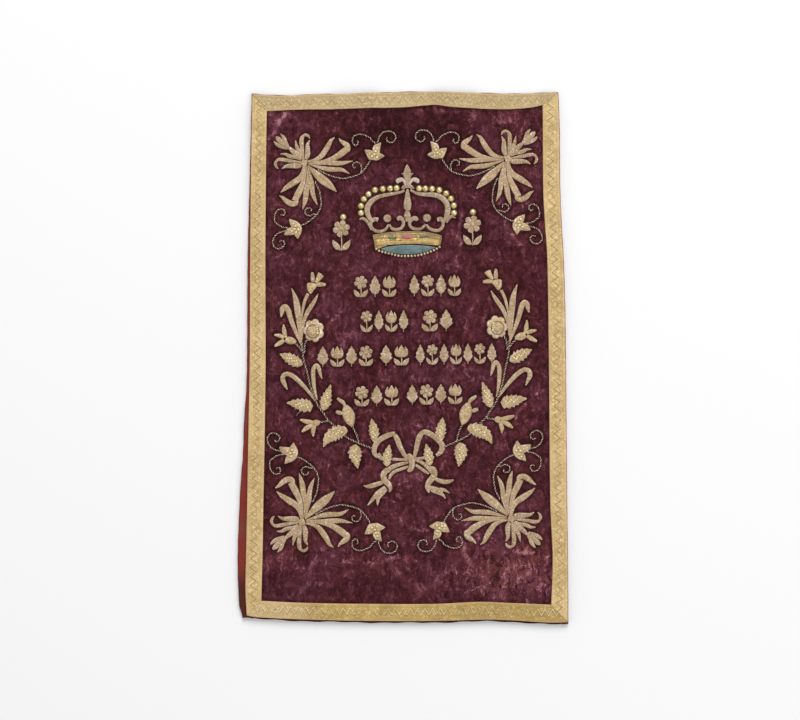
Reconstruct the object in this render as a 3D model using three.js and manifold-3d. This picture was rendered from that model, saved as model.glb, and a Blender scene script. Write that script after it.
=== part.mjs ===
// A Torah scroll mantle lying flat, face up: a velvet front panel and a plain back panel sewn into a sleeve,
// with a gold braid border and raised gold-thread appliques. The scroll goes in at the open hem (-Y) and its two
// staves come out through two gaps in the top seam (+Y).
// Millimetres, +Z up, +Y towards the top of the mantle. The origin is under the middle, on the table.
import * as THREE from 'three';
import { mergeVertices } from 'three/addons/utils/BufferGeometryUtils.js';
import Module from 'manifold-3d';

const wasm = await Module();
wasm.setup();

// ---- driving dimensions ---------------------------------------------------------------------------------------
const BACK_THICK = 1.6; // back cloth
const FRONT_THICK = 1.8; // velvet front
const BRAID_THICK = 1.0; // woven border braid
const PAD_THICK = 1.6; // padded gold work
const GAP = 0.3; // between pieces that are sewn to each other
const BRAID_GAP = 0.45; // under the braid, which bridges the velvet's facets
const APPLIQUE_GAP = 0.6; // under the wider appliques, which bridge the velvet's facets
const ROLL_HEIGHT = 6.7; // height of the back cloth's rolled side edges
const ROLL_HEIGHT_TOP = 3.9; // the same where the top seam presses them down
const FLANGE = 9; // how far a rolled edge reaches in under the front panel
const SLEEVE_HEIGHT = 7.6; // underside of the front panel above the table
const TOP_SEAM = [350, 394]; // y where the front starts and ends its fall to the top seam
const ROLL_FALL = [350, 386]; // y where the rolled edges start and end their own fall
const STAVE_SPACING = 150; // between the middles of the two stave openings
const STAVE_CENTRE_X = 4;
const STAVE_FLAT = 22; // half width of an opening at its full height
const STAVE_RAMP = 20; // from there down to the seam
const BACK_SHOWS_RIGHT = 1.2; // how far the back cloth stands out past the front
const BACK_SHOWS_TOP = 0.8;
const BACK_SHOWS_HEM = 2.5;

// ---- outlines: each edge is a smooth curve through a few points ------------------------------------------------
// through([[t, value], ...]) gives value(t), with level tangents worked out from the neighbouring points.
function through(points) {
  const slope = points.map((p, i) => {
    const a = points[Math.max(i - 1, 0)];
    const b = points[Math.min(i + 1, points.length - 1)];
    return (b[1] - a[1]) / (b[0] - a[0]);
  });
  return (t) => {
    let i = points.findIndex((p) => p[0] >= t);
    if (i === 0) return points[0][1];
    if (i < 0) return points[points.length - 1][1];
    i -= 1;
    const [a, b] = [points[i], points[i + 1]];
    const d = b[0] - a[0];
    const s = (t - a[0]) / d;
    const s2 = s * s;
    const s3 = s2 * s;
    return (2 * s3 - 3 * s2 + 1) * a[1] + (s3 - 2 * s2 + s) * d * slope[i]
      + (3 * s2 - 2 * s3) * b[1] + (s3 - s2) * d * slope[i + 1];
  };
}

// The front panel's outer edges. The sides run from the hem (-Y) to the top (+Y), the others from -X to +X.
const frontLeft = through([[-388, -234.5], [-350, -236.4], [-300, -235.7], [-220, -234], [-100, -231.8],
  [0, -230], [150, -229.4], [300, -227.8], [396, -226.3]]);
const frontRight = through([[-398, 247.3], [-300, 246.8], [-220, 245.7], [-60, 244.2], [60, 243],
  [150, 240.4], [200, 237.4], [260, 235], [350, 234.2], [398, 232.4]]);
const frontTop = through([[-227, 395.6], [-175, 393.6], [-125, 396], [-100, 395.3], [-50, 397.7],
  [50, 399.2], [100, 397.7], [165, 396.4], [233, 398]]);
const frontHem = through([[-235, -387], [-220, -389.6], [-150, -393], [-50, -395.2], [50, -395.2],
  [125, -393.2], [170, -394.7], [220, -397.8], [248, -397.2]]);

// The braid's inner edges.
const braidLeft = through([[-365, -212.4], [-300, -210.6], [-220, -209.3], [-100, -207], [0, -206],
  [150, -206.3], [300, -205.2], [370, -204.2]]);
const braidRight = through([[-371, 222.2], [-300, 224.3], [-220, 220.8], [0, 218.6], [150, 216.2],
  [200, 212.8], [250, 210.2], [379, 209.4]]);
const braidTop = through([[-205, 369.4], [-150, 372], [-100, 372.4], [-50, 374.2], [0, 375.4],
  [45, 378.8], [75, 375.4], [150, 372.4], [190, 374.8], [210, 379]]);
const braidHem = through([[-213, -364.8], [-150, -367.8], [-50, -369.4], [50, -369.4], [115, -366.2],
  [150, -367.5], [223, -370.6]]);

// The back cloth's left fold, which rolls out past the braid towards the hem.
const foldLeft = through([[-390, -242], [-378, -245.8], [-350, -247.6], [-300, -248.4], [-220, -245.5],
  [-180, -243.2], [-150, -240.6], [-100, -239], [-50, -235.6], [0, -234.4], [150, -233.4],
  [250, -230.9], [397, -227.4]]);
const foldRight = (y) => frontRight(y) + BACK_SHOWS_RIGHT;

// ---- heights ----------------------------------------------------------------------------------------------------
const smooth = (low, high, t) => THREE.MathUtils.smoothstep(t, low, high);

// Soft folds of the front panel: a ridge from one point to another, its height and half width.
const FOLDS = [
  { from: [52, 366], to: [96, 346], height: 1.3, width: 24 },
  { from: [118, 362], to: [196, 352], height: 0.9, width: 20 },
  { from: [-206, 352], to: [-120, 358], height: 0.8, width: 22 },
  { from: [-60, 354], to: [10, 348], height: 0.9, width: 26 },
  { from: [-160, 148], to: [-122, 205], height: 0.9, width: 22 },
  { from: [104, 250], to: [92, 140], height: 1.0, width: 24 },
  { from: [-104, 40], to: [-88, 76], height: 0.9, width: 22 },
  { from: [114, 108], to: [112, 60], height: 0.8, width: 22 },
  { from: [-60, -300], to: [30, -286], height: 1.0, width: 30 },
  { from: [-190, -330], to: [-90, -344], height: 1.1, width: 26 },
  { from: [98, -300], to: [112, -356], height: 1.5, width: 24 },
  { from: [148, -304], to: [160, -356], height: 1.3, width: 22 },
  { from: [196, -300], to: [206, -352], height: 1.0, width: 20 },
  { from: [60, -240], to: [20, -252], height: 0.7, width: 26 },
];

function folds(x, y) {
  let sum = 0;
  for (const { from, to, height, width } of FOLDS) {
    const run = [to[0] - from[0], to[1] - from[1]];
    const along = ((x - from[0]) * run[0] + (y - from[1]) * run[1]) / (run[0] ** 2 + run[1] ** 2);
    const t = THREE.MathUtils.clamp(along, 0, 1);
    const away = Math.hypot(x - from[0] - t * run[0], y - from[1] - t * run[1]);
    sum += height * Math.exp(-((away / width) ** 2));
  }
  return sum;
}

// 1 in the middle of a stave opening, 0 where the top seam is sewn.
function staveOpening(x) {
  const away = Math.abs(Math.abs(x - STAVE_CENTRE_X) - STAVE_SPACING / 2);
  return 1 - smooth(STAVE_FLAT, STAVE_FLAT + STAVE_RAMP, away);
}

const rollHeight = (y) => THREE.MathUtils.lerp(ROLL_HEIGHT, ROLL_HEIGHT_TOP, smooth(...ROLL_FALL, y));

// Underside of the front panel.
function frontUnder(x, y) {
  const overRoll = Math.max(1 - smooth(8, 20, x - frontLeft(y) - FLANGE), 1 - smooth(8, 20, frontRight(y) - FLANGE - x));
  const sewn = THREE.MathUtils.lerp(BACK_THICK + GAP, ROLL_HEIGHT_TOP + GAP, overRoll);
  const open = SLEEVE_HEIGHT + folds(x, y);
  const fall = smooth(...TOP_SEAM, y) * (1 - staveOpening(x));
  return THREE.MathUtils.lerp(open, sewn, fall);
}

const frontFace = (x, y) => frontUnder(x, y) + FRONT_THICK;

// What is sewn to the front rests on the highest velvet within a few millimetres of each of its points.
const REACH = 3.5;
const around = [[0, 0], [REACH, 0], [-REACH, 0], [0, REACH], [0, -REACH]];
const restsOn = (x, y) => Math.max(...around.map(([dx, dy]) => frontFace(x + dx, y + dy)));

// ---- cloth sheets -----------------------------------------------------------------------------------------------
// A box whose vertices are moved: place(u, v, w) takes three numbers from 0 to 1 to a point. columns and rows are
// the stations along u and v, so a sheet is finer where it bends.
function sheet(columns, rows, place) {
  const geometry = new THREE.BoxGeometry(1, 1, 1, columns.length - 1, rows.length - 1, 1);
  const position = geometry.getAttribute('position');
  for (let i = 0; i < position.count; i++) {
    const u = columns[Math.round((position.getX(i) + 0.5) * (columns.length - 1))];
    const v = rows[Math.round((position.getY(i) + 0.5) * (rows.length - 1))];
    position.setXYZ(i, ...place(u, v, position.getZ(i) + 0.5));
  }
  geometry.deleteAttribute('uv');
  geometry.deleteAttribute('normal');
  const merged = mergeVertices(geometry);
  merged.computeVertexNormals();
  return merged;
}

const evenly = (from, to, steps) => Array.from({ length: steps + 1 }, (_, i) => from + ((to - from) * i) / steps);

// The front's stations: closest over the rolled edges, at the stave openings and along the top seam.
const HALF = [0, 0.035, 0.05, 0.068, 0.13, 0.19, 0.24, 0.265, 0.29, 0.335, 0.385, 0.41, 0.435];
const COLUMNS = [...HALF, 0.5, ...HALF.map((u) => 1 - u).reverse()];
const ROWS = [...evenly(0, 0.92, 20), ...evenly(0.935, 1, 8)];

function frontPanel() {
  const columns = COLUMNS;
  const rows = ROWS;
  return sheet(columns, rows, (u, v, w) => {
    const level = THREE.MathUtils.lerp(-394, 397, v);
    const x = THREE.MathUtils.lerp(frontLeft(level), frontRight(level), u);
    const y = THREE.MathUtils.lerp(frontHem(x), frontTop(x), v);
    return [x, y, frontUnder(x, y) + w * FRONT_THICK];
  });
}

// The back cloth's section: a flat run on the table with both sides rolled up and in under the front panel.
function backPanel() {
  const flange = [0, 0.5];
  const roll = evenly(1, 2, 5);
  const flat = evenly(2, 3, 5).slice(1);
  const columns = [...flange, ...roll, ...flat, ...evenly(3, 4, 5).slice(1), 4.5, 5];
  const rows = [...evenly(0, 0.94, 14), 0.96, 0.975, 0.99, 1];
  return sheet(columns, rows, (u, v, w) => {
    const level = THREE.MathUtils.lerp(-396, 397, v);
    const height = rollHeight(level);
    const radius = (height - BACK_THICK) / 2;
    const left = foldLeft(level) + radius + BACK_THICK / 2;
    const right = foldRight(level) - radius - BACK_THICK / 2;
    const offset = (w - 0.5) * BACK_THICK;
    const bend = (centre, angle) => [centre + Math.cos(angle) * (radius - offset),
      height / 2 + Math.sin(angle) * (radius - offset)];
    const lift = height - BACK_THICK / 2 - offset;
    let section;
    if (u < 1) section = [THREE.MathUtils.lerp(frontLeft(level) + FLANGE, left, u), lift];
    else if (u <= 2) section = bend(left, Math.PI * (u - 0.5));
    else if (u < 3) section = [THREE.MathUtils.lerp(left, right, u - 2), BACK_THICK / 2 + offset];
    else if (u <= 4) section = bend(right, Math.PI * (u - 3.5));
    else section = [THREE.MathUtils.lerp(right, frontRight(level) - FLANGE, u - 4), lift];
    const x = section[0];
    const hem = frontHem(x) - BACK_SHOWS_HEM;
    return [x, THREE.MathUtils.lerp(hem, frontTop(x) + BACK_SHOWS_TOP, v), section[1]];
  });
}

// A strip of braid on the front panel. low and high give its two long edges from 0 to 1 along the strip.
function braid(along, across, low, high, lengthwise) {
  const [columns, rows] = lengthwise ? [across, along] : [along, across];
  return sheet(columns, rows, (u, v, w) => {
    const [t, s] = lengthwise ? [v, u] : [u, v];
    const a = low(t);
    const b = high(t);
    const x = THREE.MathUtils.lerp(a[0], b[0], s);
    const y = THREE.MathUtils.lerp(a[1], b[1], s);
    return [x, y, restsOn(x, y) + BRAID_GAP + w * BRAID_THICK];
  });
}

// The four mitred corners, outer and inner.
const CORNER = {
  hemLeft: { outer: [-234.5, -387.3], inner: [-212.6, -364.8] },
  hemRight: { outer: [247.2, -397.2], inner: [222.2, -370.8] },
  topLeft: { outer: [-226.3, 395.4], inner: [-204.2, 369.6] },
  topRight: { outer: [232.4, 397.8], inner: [209.4, 379] },
};
const MITRE_GAP = 0.25;

function sideRun(edge, from, to) {
  return (t) => {
    const y = THREE.MathUtils.lerp(from[1] + MITRE_GAP, to[1] - MITRE_GAP, t);
    return [edge(y), y];
  };
}

function crossRun(edge, from, to) {
  return (t) => {
    const x = THREE.MathUtils.lerp(from[0] + MITRE_GAP, to[0] - MITRE_GAP, t);
    return [x, edge(x)];
  };
}

// ---- gold-work appliques ----------------------------------------------------------------------------------------
// A petal, leaf or ribbon is a list of stations [x, y, half width] along its middle. Its outline is smoothed.
function outline(stations, steps) {
  const path = new THREE.CatmullRomCurve3(stations.map(([x, y]) => new THREE.Vector3(x, y, 0)), false, 'centripetal');
  const width = through(stations.map((s, i) => [i / (stations.length - 1), s[2]]));
  const left = [];
  const right = [];
  for (const t of evenly(0, 1, steps)) {
    const p = path.getPoint(t);
    const d = path.getTangent(t);
    const w = Math.max(width(t), 0.5);
    left.push(new THREE.Vector2(p.x - d.y * w, p.y + d.x * w));
    right.unshift(new THREE.Vector2(p.x + d.y * w, p.y - d.x * w));
  }
  return [...right.reverse(), ...left.reverse()];
}

function solid(points) {
  const geometry = new THREE.ExtrudeGeometry(new THREE.Shape(points), { depth: PAD_THICK, bevelEnabled: false });
  geometry.deleteAttribute('uv');
  geometry.deleteAttribute('normal');
  const merged = mergeVertices(geometry);
  return new wasm.Manifold(new wasm.Mesh({
    numProp: 3,
    vertProperties: new Float32Array(merged.getAttribute('position').array),
    triVerts: new Uint32Array(merged.index.array),
  }));
}

const strip = (stations, steps = stations.length - 1) => solid(outline(stations, steps));
const disc = (x, y, radius, sides = 12) => solid(evenly(0, 1, sides).slice(1).map((t) =>
  new THREE.Vector2(x + radius * Math.cos(2 * Math.PI * t), y + radius * Math.sin(2 * Math.PI * t))));
const polygon = (points) => solid(points.map(([x, y]) => new THREE.Vector2(x, y)));

// Joins the pieces of one applique and lays it on the velvet.
function laid(pieces) {
  const joined = pieces.reduce((all, piece) => all.add(piece));
  const mesh = joined.getMesh();
  const position = new Float32Array(mesh.numVert * 3);
  for (let i = 0; i < mesh.numVert; i++) {
    const [x, y, z] = mesh.vertProperties.subarray(i * mesh.numProp, i * mesh.numProp + 3);
    position.set([x, y, z + restsOn(x, y) + APPLIQUE_GAP], i * 3);
  }
  const geometry = new THREE.BufferGeometry();
  geometry.setAttribute('position', new THREE.BufferAttribute(position, 3));
  geometry.setIndex(new THREE.BufferAttribute(mesh.triVerts, 1));
  geometry.computeVertexNormals();
  return geometry;
}

// ---- the lily spray in each corner -----------------------------------------------------------------------------
// Stations are from the spray's knot, for the top left corner. The spray is alike on both sides of its diagonal,
// so SPRAY_SIDE holds the petals on one side and SPRAY_MIDDLE those on the diagonal itself.
const SPRAY_SIDE = [
  [[2, 1, 2], [14, 4, 2], [26, 9, 3.8], [34, 20, 4], [40, 33, 2.4], [45, 37.5, 0.7]],
  [[2, 0, 2], [24, 1, 1.6], [43, 6.5, 3.8], [54, 13, 4.8], [63, 20.5, 4.4]],
  [[62, 17, 2.6], [64.5, 23, 3.4], [59, 28.5, 3.6], [52, 36, 0.8]],
  [[2, 0, 1.5], [24, -1, 1.4], [44, -0.5, 3.8], [58, -0.3, 3.8], [73, 2.5, 0.6]],
  [[2, -1, 1.5], [20, -6, 2.4], [38, -10, 3.8], [56, -11, 2.8], [68, -16.5, 0.6]],
  [[-1, 4, 3], [-2.5, 12, 2.6], [-4.2, 26, 3.2], [-3.4, 36, 3], [0.5, 41, 2.2], [6, 40.5, 2], [8.4, 36, 0.8]],
  [[3, 4, 2.6], [5, 12, 4], [4.6, 24, 3.2], [8, 34, 0.8]],
  [[-5, 6, 3], [-9, 18, 3.2], [-13.5, 34, 0.7]],
];
const SPRAY_MIDDLE = [
  [[3, -3, 1.6], [16, -15, 4.6], [27, -25, 6.4], [38, -34, 5], [48.5, -43.5, 0.7]],
  [[-3, 3, 5], [-13, 14, 4.6], [-25, 24, 2.4]],
  [[-25, 24, 2.6], [-34, 32, 2.6], [-42, 39, 1.4]],
];
const SPRAY_BUD = [[[-26, 24, 2], [-28, 33, 2.6], [-34.5, 43, 0.8]]];
const SPRAY_TENDRIL = [[8, -5, 1], [26, -13, 1], [48, -22, 1], [68, -23, 1], [84, -17, 1], [97, -3, 1], [101, 4, 1.4]];
const SPRAY_STAR = [
  [[101, 4, 3], [107, 20, 6.2], [113, 30, 2.4]],
  [[101, 7, 4.4], [112, 9, 4.4], [121, 10.5, 0.8]],
  [[103, 7, 4.4], [96, 14, 3.8], [90, 19.5, 0.8]],
];

// Where each spray's knot lies, the way it faces, its turn in degrees and its size.
const SPRAYS = {
  top_left: { knot: [-148, 292], flip: [1, 1], turn: 0, size: 1 },
  top_right: { knot: [157, 298], flip: [-1, 1], turn: 2, size: 1 },
  bottom_left: { knot: [-152, -246.5], flip: [1, -1], turn: 1, size: 1.04 },
  bottom_right: { knot: [162, -241.5], flip: [-1, -1], turn: 0.5, size: 1.02 },
};

function spray({ knot, flip, turn, size }) {
  const angle = THREE.MathUtils.degToRad(turn);
  const move = ([x, y, w]) => {
    const [a, b] = [x * flip[0] * size, y * flip[1] * size];
    return [knot[0] + a * Math.cos(angle) - b * Math.sin(angle), knot[1] + a * Math.sin(angle) + b * Math.cos(angle),
      w * size];
  };
  const across = ([x, y, w]) => [-y, -x, w];
  const side = [...SPRAY_SIDE, ...SPRAY_BUD, SPRAY_TENDRIL, ...SPRAY_STAR];
  const stems = [...side, ...side.map((s) => s.map(across)), ...SPRAY_MIDDLE];
  return laid(stems.map((s) => strip(s.map(move))));
}

// ---- the crown --------------------------------------------------------------------------------------------------
const CROWN_X = 7; // the crown is alike on both sides of this line
const CROWN_SIDE = [
  [[6, 251, 2], [-4, 247, 2.3], [-30, 243.5, 2.9], [-48, 235.5, 3.8], [-54, 224, 4], [-52, 213, 3.8], [-46, 204, 3.2]],
  [[-37.5, 205, 3], [-43, 208, 3.4], [-49, 202, 3], [-46, 193.5, 2.4], [-37, 190, 2.2], [-27, 192, 2.2], [-21.5, 200, 2]],
  [[-21.5, 200, 2], [-15, 194, 2.2], [-7, 193, 2.3], [-0.5, 198, 2.4], [0, 205.5, 2.6], [-5, 208.5, 3]],
  [[7, 257.5, 2], [1, 257, 2], [-3.5, 252, 1.4]],
  [[5, 256, 1.6], [-0.5, 261, 2.6], [-5.5, 264, 4.4], [-9, 264, 2.4]],
  [[-65, 206.5, 0.8], [-58, 208.5, 2.2], [-51, 203, 1.6]],
];
const CROWN_MIDDLE = [
  [[7, 259, 2], [7, 268, 3.6], [7, 276, 6.2], [7, 282, 5], [6.6, 289.5, 0.6]],
  [[7, 260, 1.6], [7, 252, 2], [7, 240, 4.2], [7, 230, 6.2], [7, 219, 5], [7, 206, 4.6]],
];
const CROWN_BAND = [[-44, 183.4], [-18, 186], [7, 187.2], [33, 186], [57, 182.6], [54, 166.6], [33, 169.4],
  [7, 170.6], [-17, 169.2], [-39.5, 164.6]];
const CROWN_CAP = [[-38, 163.6], [-17, 168.4], [7, 169.8], [33, 168.6], [51.5, 166], [38, 158.4], [22, 153.6],
  [6, 152.2], [-10, 153.6], [-25, 157.8]];

function crownFrame() {
  const mirror = ([x, y, w]) => [2 * CROWN_X - x, y, w];
  const sides = [...CROWN_SIDE, ...CROWN_SIDE.map((s) => s.map(mirror)), ...CROWN_MIDDLE];
  const balls = [[-22.5, 206], [36.5, 206]].map(([x, y]) => disc(x, y, 6.2));
  return laid([...sides.map((s) => strip(s)), ...balls]);
}

// ---- the wreath: two branches that meet at a bow ----------------------------------------------------------------
// Stations of the left branch. The right one is its mirror image about a line that leans a little.
const WREATH_LEAVES = [
  [[-152, 14, 1.4], [-156.5, 45, 4.2], [-159.6, 70, 5], [-162, 89, 4], [-167.5, 105, 0.6]],
  [[-153, 20, 1.4], [-164, 43, 3.4], [-171, 64, 4], [-175.5, 74.5, 4], [-181, 74, 3.6], [-182, 60, 0.8]],
  [[-152, 20, 1.4], [-149.5, 45, 3.2], [-143.5, 72, 4.5], [-134, 84, 4], [-126.5, 95.5, 0.7]],
  [[-152.5, 40, 1], [-150.5, 68, 1.6], [-146, 86, 2.5], [-140, 98, 3.4], [-137.5, 105, 6], [-135, 114, 4]],
  [[-136.5, 111, 3], [-136, 120, 3.8], [-136.5, 128, 1]],
  [[-134, 111, 2.6], [-126, 119, 4.4], [-119, 127, 3]],
  [[-134, 109, 2.6], [-123, 110.5, 3.4], [-115.5, 109, 1.2]],
  [[-150, 8, 1], [-158, 19, 1.2], [-165, 24, 4.4], [-173, 26, 5.6], [-182, 30, 3], [-192, 34.5, 1.4]],
  [[-177, 29, 3], [-179, 40, 4], [-178.5, 49.5, 1.2]],
  [[-178, 26, 3], [-185, 22.5, 3.8], [-191, 18.5, 1.6]],
  [[-148.5, -10, 2], [-160, -8, 8], [-170, -1, 7], [-185, 8, 0.8]],
  [[-128.5, -68, 1.2], [-140, -56, 2.8], [-160, -34, 3.4], [-173, -25, 3.6], [-180, -29, 3.6], [-178, -38, 3.4],
    [-172, -50.5, 0.8]],
  [[-130, -62, 1], [-134.5, -38, 3.4], [-135, -20, 3.8], [-131, -12.5, 3.4], [-126.5, -20, 2.8], [-122, -32.5, 0.8]],
  [[-126, -71, 3], [-145, -71, 9.5], [-160, -69, 6.5], [-174, -66.5, 1]],
  [[-122, -82, 3], [-117, -68, 9.2], [-113, -57, 7.2], [-110, -42, 1]],
  [[-109, -92.5, 1], [-122, -97, 3.4], [-130, -98.5, 5.2], [-142, -96.5, 3.2], [-155, -93.5, 1.4]],
  [[-132, -100, 3], [-143, -105, 4], [-152, -111, 2.4]],
  [[-132, -101, 3], [-136, -111, 3.6], [-134.5, -118, 1.4]],
  [[-66, -127, 1.2], [-75, -107, 3], [-80.5, -95, 7.6], [-85, -82, 8.6], [-90, -69, 3], [-98, -61, 1.6]],
  [[-85, -92, 4], [-94, -84, 3.2], [-99, -79, 1.4]],
  [[-78, -110, 3], [-93, -110, 8.4], [-105, -114.5, 8.6], [-114, -122, 6], [-119, -132.5, 0.8]],
  [[-68, -127, 3], [-71, -139, 9.6], [-71, -149, 7.2], [-69, -166, 0.8]],
];
const WREATH_STEM = [[-152, 20, 1.4], [-149, -8, 1.6], [-138, -45, 1.8], [-120, -82, 2], [-98, -104, 1.8],
  [-74, -125, 1.6], [-51.5, -134.6, 1.4]];
const ROSE = { centre: [-134, 40.5], radius: 14.2, lobe: 2.2, lobes: 6, stem: [[-134, 40, 3], [-147, 20, 1.2], [-149, 4, 1.2]] };

const mirrorWreath = ([x, y, w]) => {
  const across = 2 * (4.3 - 0.021 * y) - x;
  return [across, y + 0.018 * (across - x), w];
};

function wreathBranch(move) {
  const rose = evenly(0, 1, 24).slice(1).map((t) => {
    const radius = ROSE.radius + ROSE.lobe * Math.abs(Math.sin(ROSE.lobes * Math.PI * t));
    const at = [ROSE.centre[0] + radius * Math.cos(2 * Math.PI * t), ROSE.centre[1] + radius * Math.sin(2 * Math.PI * t)];
    return move([...at, 0]);
  });
  const turned = THREE.ShapeUtils.area(rose.map(([x, y]) => new THREE.Vector2(x, y))) < 0 ? rose.reverse() : rose;
  const strips = [...WREATH_LEAVES, WREATH_STEM, ROSE.stem].map((s) => strip(s.map(move)));
  return laid([...strips, polygon(turned)]);
}

const BOW_SIDE = [
  [[5, -149, 2.6], [-1, -138, 3.4], [-5.5, -127, 3.4], [-10, -118, 3.4], [-15.5, -113.5, 3]],
  [[-11, -114.5, 2.8], [-22, -117.5, 3.4], [-32, -122.5, 3.4], [-40, -129, 3.4], [-43.5, -137, 3.2], [-40, -145, 3],
    [-33, -151, 2.4]],
  [[-32, -151.5, 2.4], [-16, -153, 2.4], [6, -153, 2.4]],
  [[6, -158, 2.6], [-10, -163, 4.4], [-24, -169, 4.6], [-29, -176, 4.6], [-22, -186, 4.6], [-19.5, -196, 4]],
  [[-24, -184, 3], [-38, -189.5, 3.2], [-46, -192, 3.4], [-57, -194, 2]],
  [[-20, -192, 3.4], [-33, -202, 5.6], [-41, -209, 6.2], [-45, -216, 5.2]],
  [[-24.5, -163, 3], [-24, -152, 8], [-22.5, -142, 6.4], [-20.5, -130.5, 0.8]],
  [[-42, -131, 3], [-44, -118, 8], [-45.5, -107, 6.2], [-47.5, -92.5, 0.8]],
];
const BOW_KNOT = [[8, -143.5, 3], [10, -151, 5.4], [10, -163, 5.4], [8, -170.5, 3]];

function bow() {
  const sides = [...BOW_SIDE, ...BOW_SIDE.map((s) => s.map(mirrorWreath)), BOW_KNOT];
  return laid(sides.map((s) => strip(s)));
}

// ---- the mantle -------------------------------------------------------------------------------------------------
const velvet = new THREE.MeshStandardMaterial({ color: '#4a1c27', roughness: 0.95, metalness: 0 });
const backing = new THREE.MeshStandardMaterial({ color: '#7a2c2f', roughness: 0.9, metalness: 0 });
const braidGold = new THREE.MeshStandardMaterial({ color: '#c8ad72', roughness: 0.6, metalness: 0.25 });
const threadGold = new THREE.MeshStandardMaterial({ color: '#c9b28c', roughness: 0.5, metalness: 0.35 });
const bandGold = new THREE.MeshStandardMaterial({ color: '#d0a84c', roughness: 0.5, metalness: 0.3 });
const capBlue = new THREE.MeshStandardMaterial({ color: '#5f93a6', roughness: 0.8, metalness: 0 });

const mantle = new THREE.Group();

function piece(name, geometry, material) {
  const mesh = new THREE.Mesh(geometry, material);
  mesh.name = name;
  mantle.add(mesh);
}

piece('back_panel', backPanel(), backing);
piece('front_panel', frontPanel(), velvet);

const { hemLeft, hemRight, topLeft, topRight } = CORNER;
const sideways = [0, 0.55, 1];
piece('braid_left', braid(ROWS, sideways, sideRun(frontLeft, hemLeft.outer, topLeft.outer),
  sideRun(braidLeft, hemLeft.inner, topLeft.inner), true), braidGold);
piece('braid_right', braid(ROWS, sideways, sideRun(braidRight, hemRight.inner, topRight.inner),
  sideRun(frontRight, hemRight.outer, topRight.outer), true), braidGold);
piece('braid_top', braid(COLUMNS, evenly(0, 1, 4), crossRun(braidTop, topLeft.inner, topRight.inner),
  crossRun(frontTop, topLeft.outer, topRight.outer), false), braidGold);
piece('braid_hem', braid(COLUMNS, [0, 1], crossRun(frontHem, hemLeft.outer, hemRight.outer),
  crossRun(braidHem, hemLeft.inner, hemRight.inner), false), braidGold);

for (const [corner, where] of Object.entries(SPRAYS)) piece(`spray_${corner}`, spray(where), threadGold);
piece('crown_frame', crownFrame(), threadGold);
piece('crown_band', laid([polygon([...CROWN_BAND].reverse())]), bandGold);
piece('crown_cap', laid([polygon([...CROWN_CAP].reverse())]), capBlue);
piece('wreath_left', wreathBranch((s) => s), threadGold);
piece('wreath_right', wreathBranch(mirrorWreath), threadGold);
piece('bow', bow(), threadGold);

export default mantle;
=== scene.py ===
"""A Torah scroll mantle of worn velvet with a gold braid border and padded gold-thread work.

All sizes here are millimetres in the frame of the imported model, and become metres when a mesh is made.
"""

from __future__ import annotations

import logging
import math
from dataclasses import dataclass, field
from enum import Enum
from typing import Any, Callable, Iterable, Sequence

import bpy
import numpy as np
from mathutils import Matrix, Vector
from mathutils.kdtree import KDTree


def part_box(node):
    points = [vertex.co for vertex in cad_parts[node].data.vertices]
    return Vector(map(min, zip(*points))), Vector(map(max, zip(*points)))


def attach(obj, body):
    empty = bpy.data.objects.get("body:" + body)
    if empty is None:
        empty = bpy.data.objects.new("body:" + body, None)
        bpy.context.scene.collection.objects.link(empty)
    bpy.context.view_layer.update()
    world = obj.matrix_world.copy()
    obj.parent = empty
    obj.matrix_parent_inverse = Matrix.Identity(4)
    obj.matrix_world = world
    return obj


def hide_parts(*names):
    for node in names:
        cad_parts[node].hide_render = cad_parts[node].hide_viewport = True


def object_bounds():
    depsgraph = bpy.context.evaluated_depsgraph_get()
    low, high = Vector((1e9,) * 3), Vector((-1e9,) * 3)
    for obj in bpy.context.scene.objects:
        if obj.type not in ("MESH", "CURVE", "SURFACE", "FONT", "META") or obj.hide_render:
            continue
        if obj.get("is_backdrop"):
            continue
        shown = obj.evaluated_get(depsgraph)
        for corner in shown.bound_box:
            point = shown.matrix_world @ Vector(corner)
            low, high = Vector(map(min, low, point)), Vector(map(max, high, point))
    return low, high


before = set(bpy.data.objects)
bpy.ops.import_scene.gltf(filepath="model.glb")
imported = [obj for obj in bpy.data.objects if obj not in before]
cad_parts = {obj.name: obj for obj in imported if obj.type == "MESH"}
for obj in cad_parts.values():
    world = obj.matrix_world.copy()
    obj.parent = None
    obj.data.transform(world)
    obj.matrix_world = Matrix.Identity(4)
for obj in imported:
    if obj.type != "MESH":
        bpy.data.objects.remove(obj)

MM = 0.001
Point = tuple[float, float]
Station = tuple[float, float, float]
Colour = tuple[float, float, float]
Array = np.ndarray
log = logging.getLogger("mantle")

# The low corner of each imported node's box, from which its points below are drawn.
DRAWN_FROM: dict[str, Point] = {
    "back_panel": (-248.02, -400.03), "front_panel": (-236.2, -397.87), "braid_left": (-236.38, -387.05),
    "braid_right": (209.4, -396.95), "braid_top": (-226.05, 369.45), "braid_hem": (-234.25, -397.86),
    "spray_top_left": (-191.44, 170.87), "spray_top_right": (35.6, 177.28), "spray_bottom_left": (-196.73, -292.28),
    "spray_bottom_right": (38.54, -285.5), "crown_frame": (-65.22, 187.81), "crown_band": (-44.0, 164.6),
    "crown_cap": (-38.0, 152.2), "wreath_left": (-192.57, -166.09), "wreath_right": (65.16, -163.3),
    "bow": (-57.36, -218.58),
}


class Thread(Enum):
    """How the gold thread lies across a padded shape."""

    ACROSS = "straight across"
    VEINED = "slanting out from a sunk middle line"


# ---------------------------------------------------------------- curves


def smooth(low: float, high: float, at: Array) -> Array:
    """An S curve that is 0 below low and 1 above high."""
    t = np.clip((np.asarray(at, float) - low) / (high - low), 0, 1)
    return t * t * (3 - 2 * t)


def blend(a: Any, b: Any, t: Any) -> Any:
    """A straight mix of a and b."""
    return a + (b - a) * t


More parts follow.
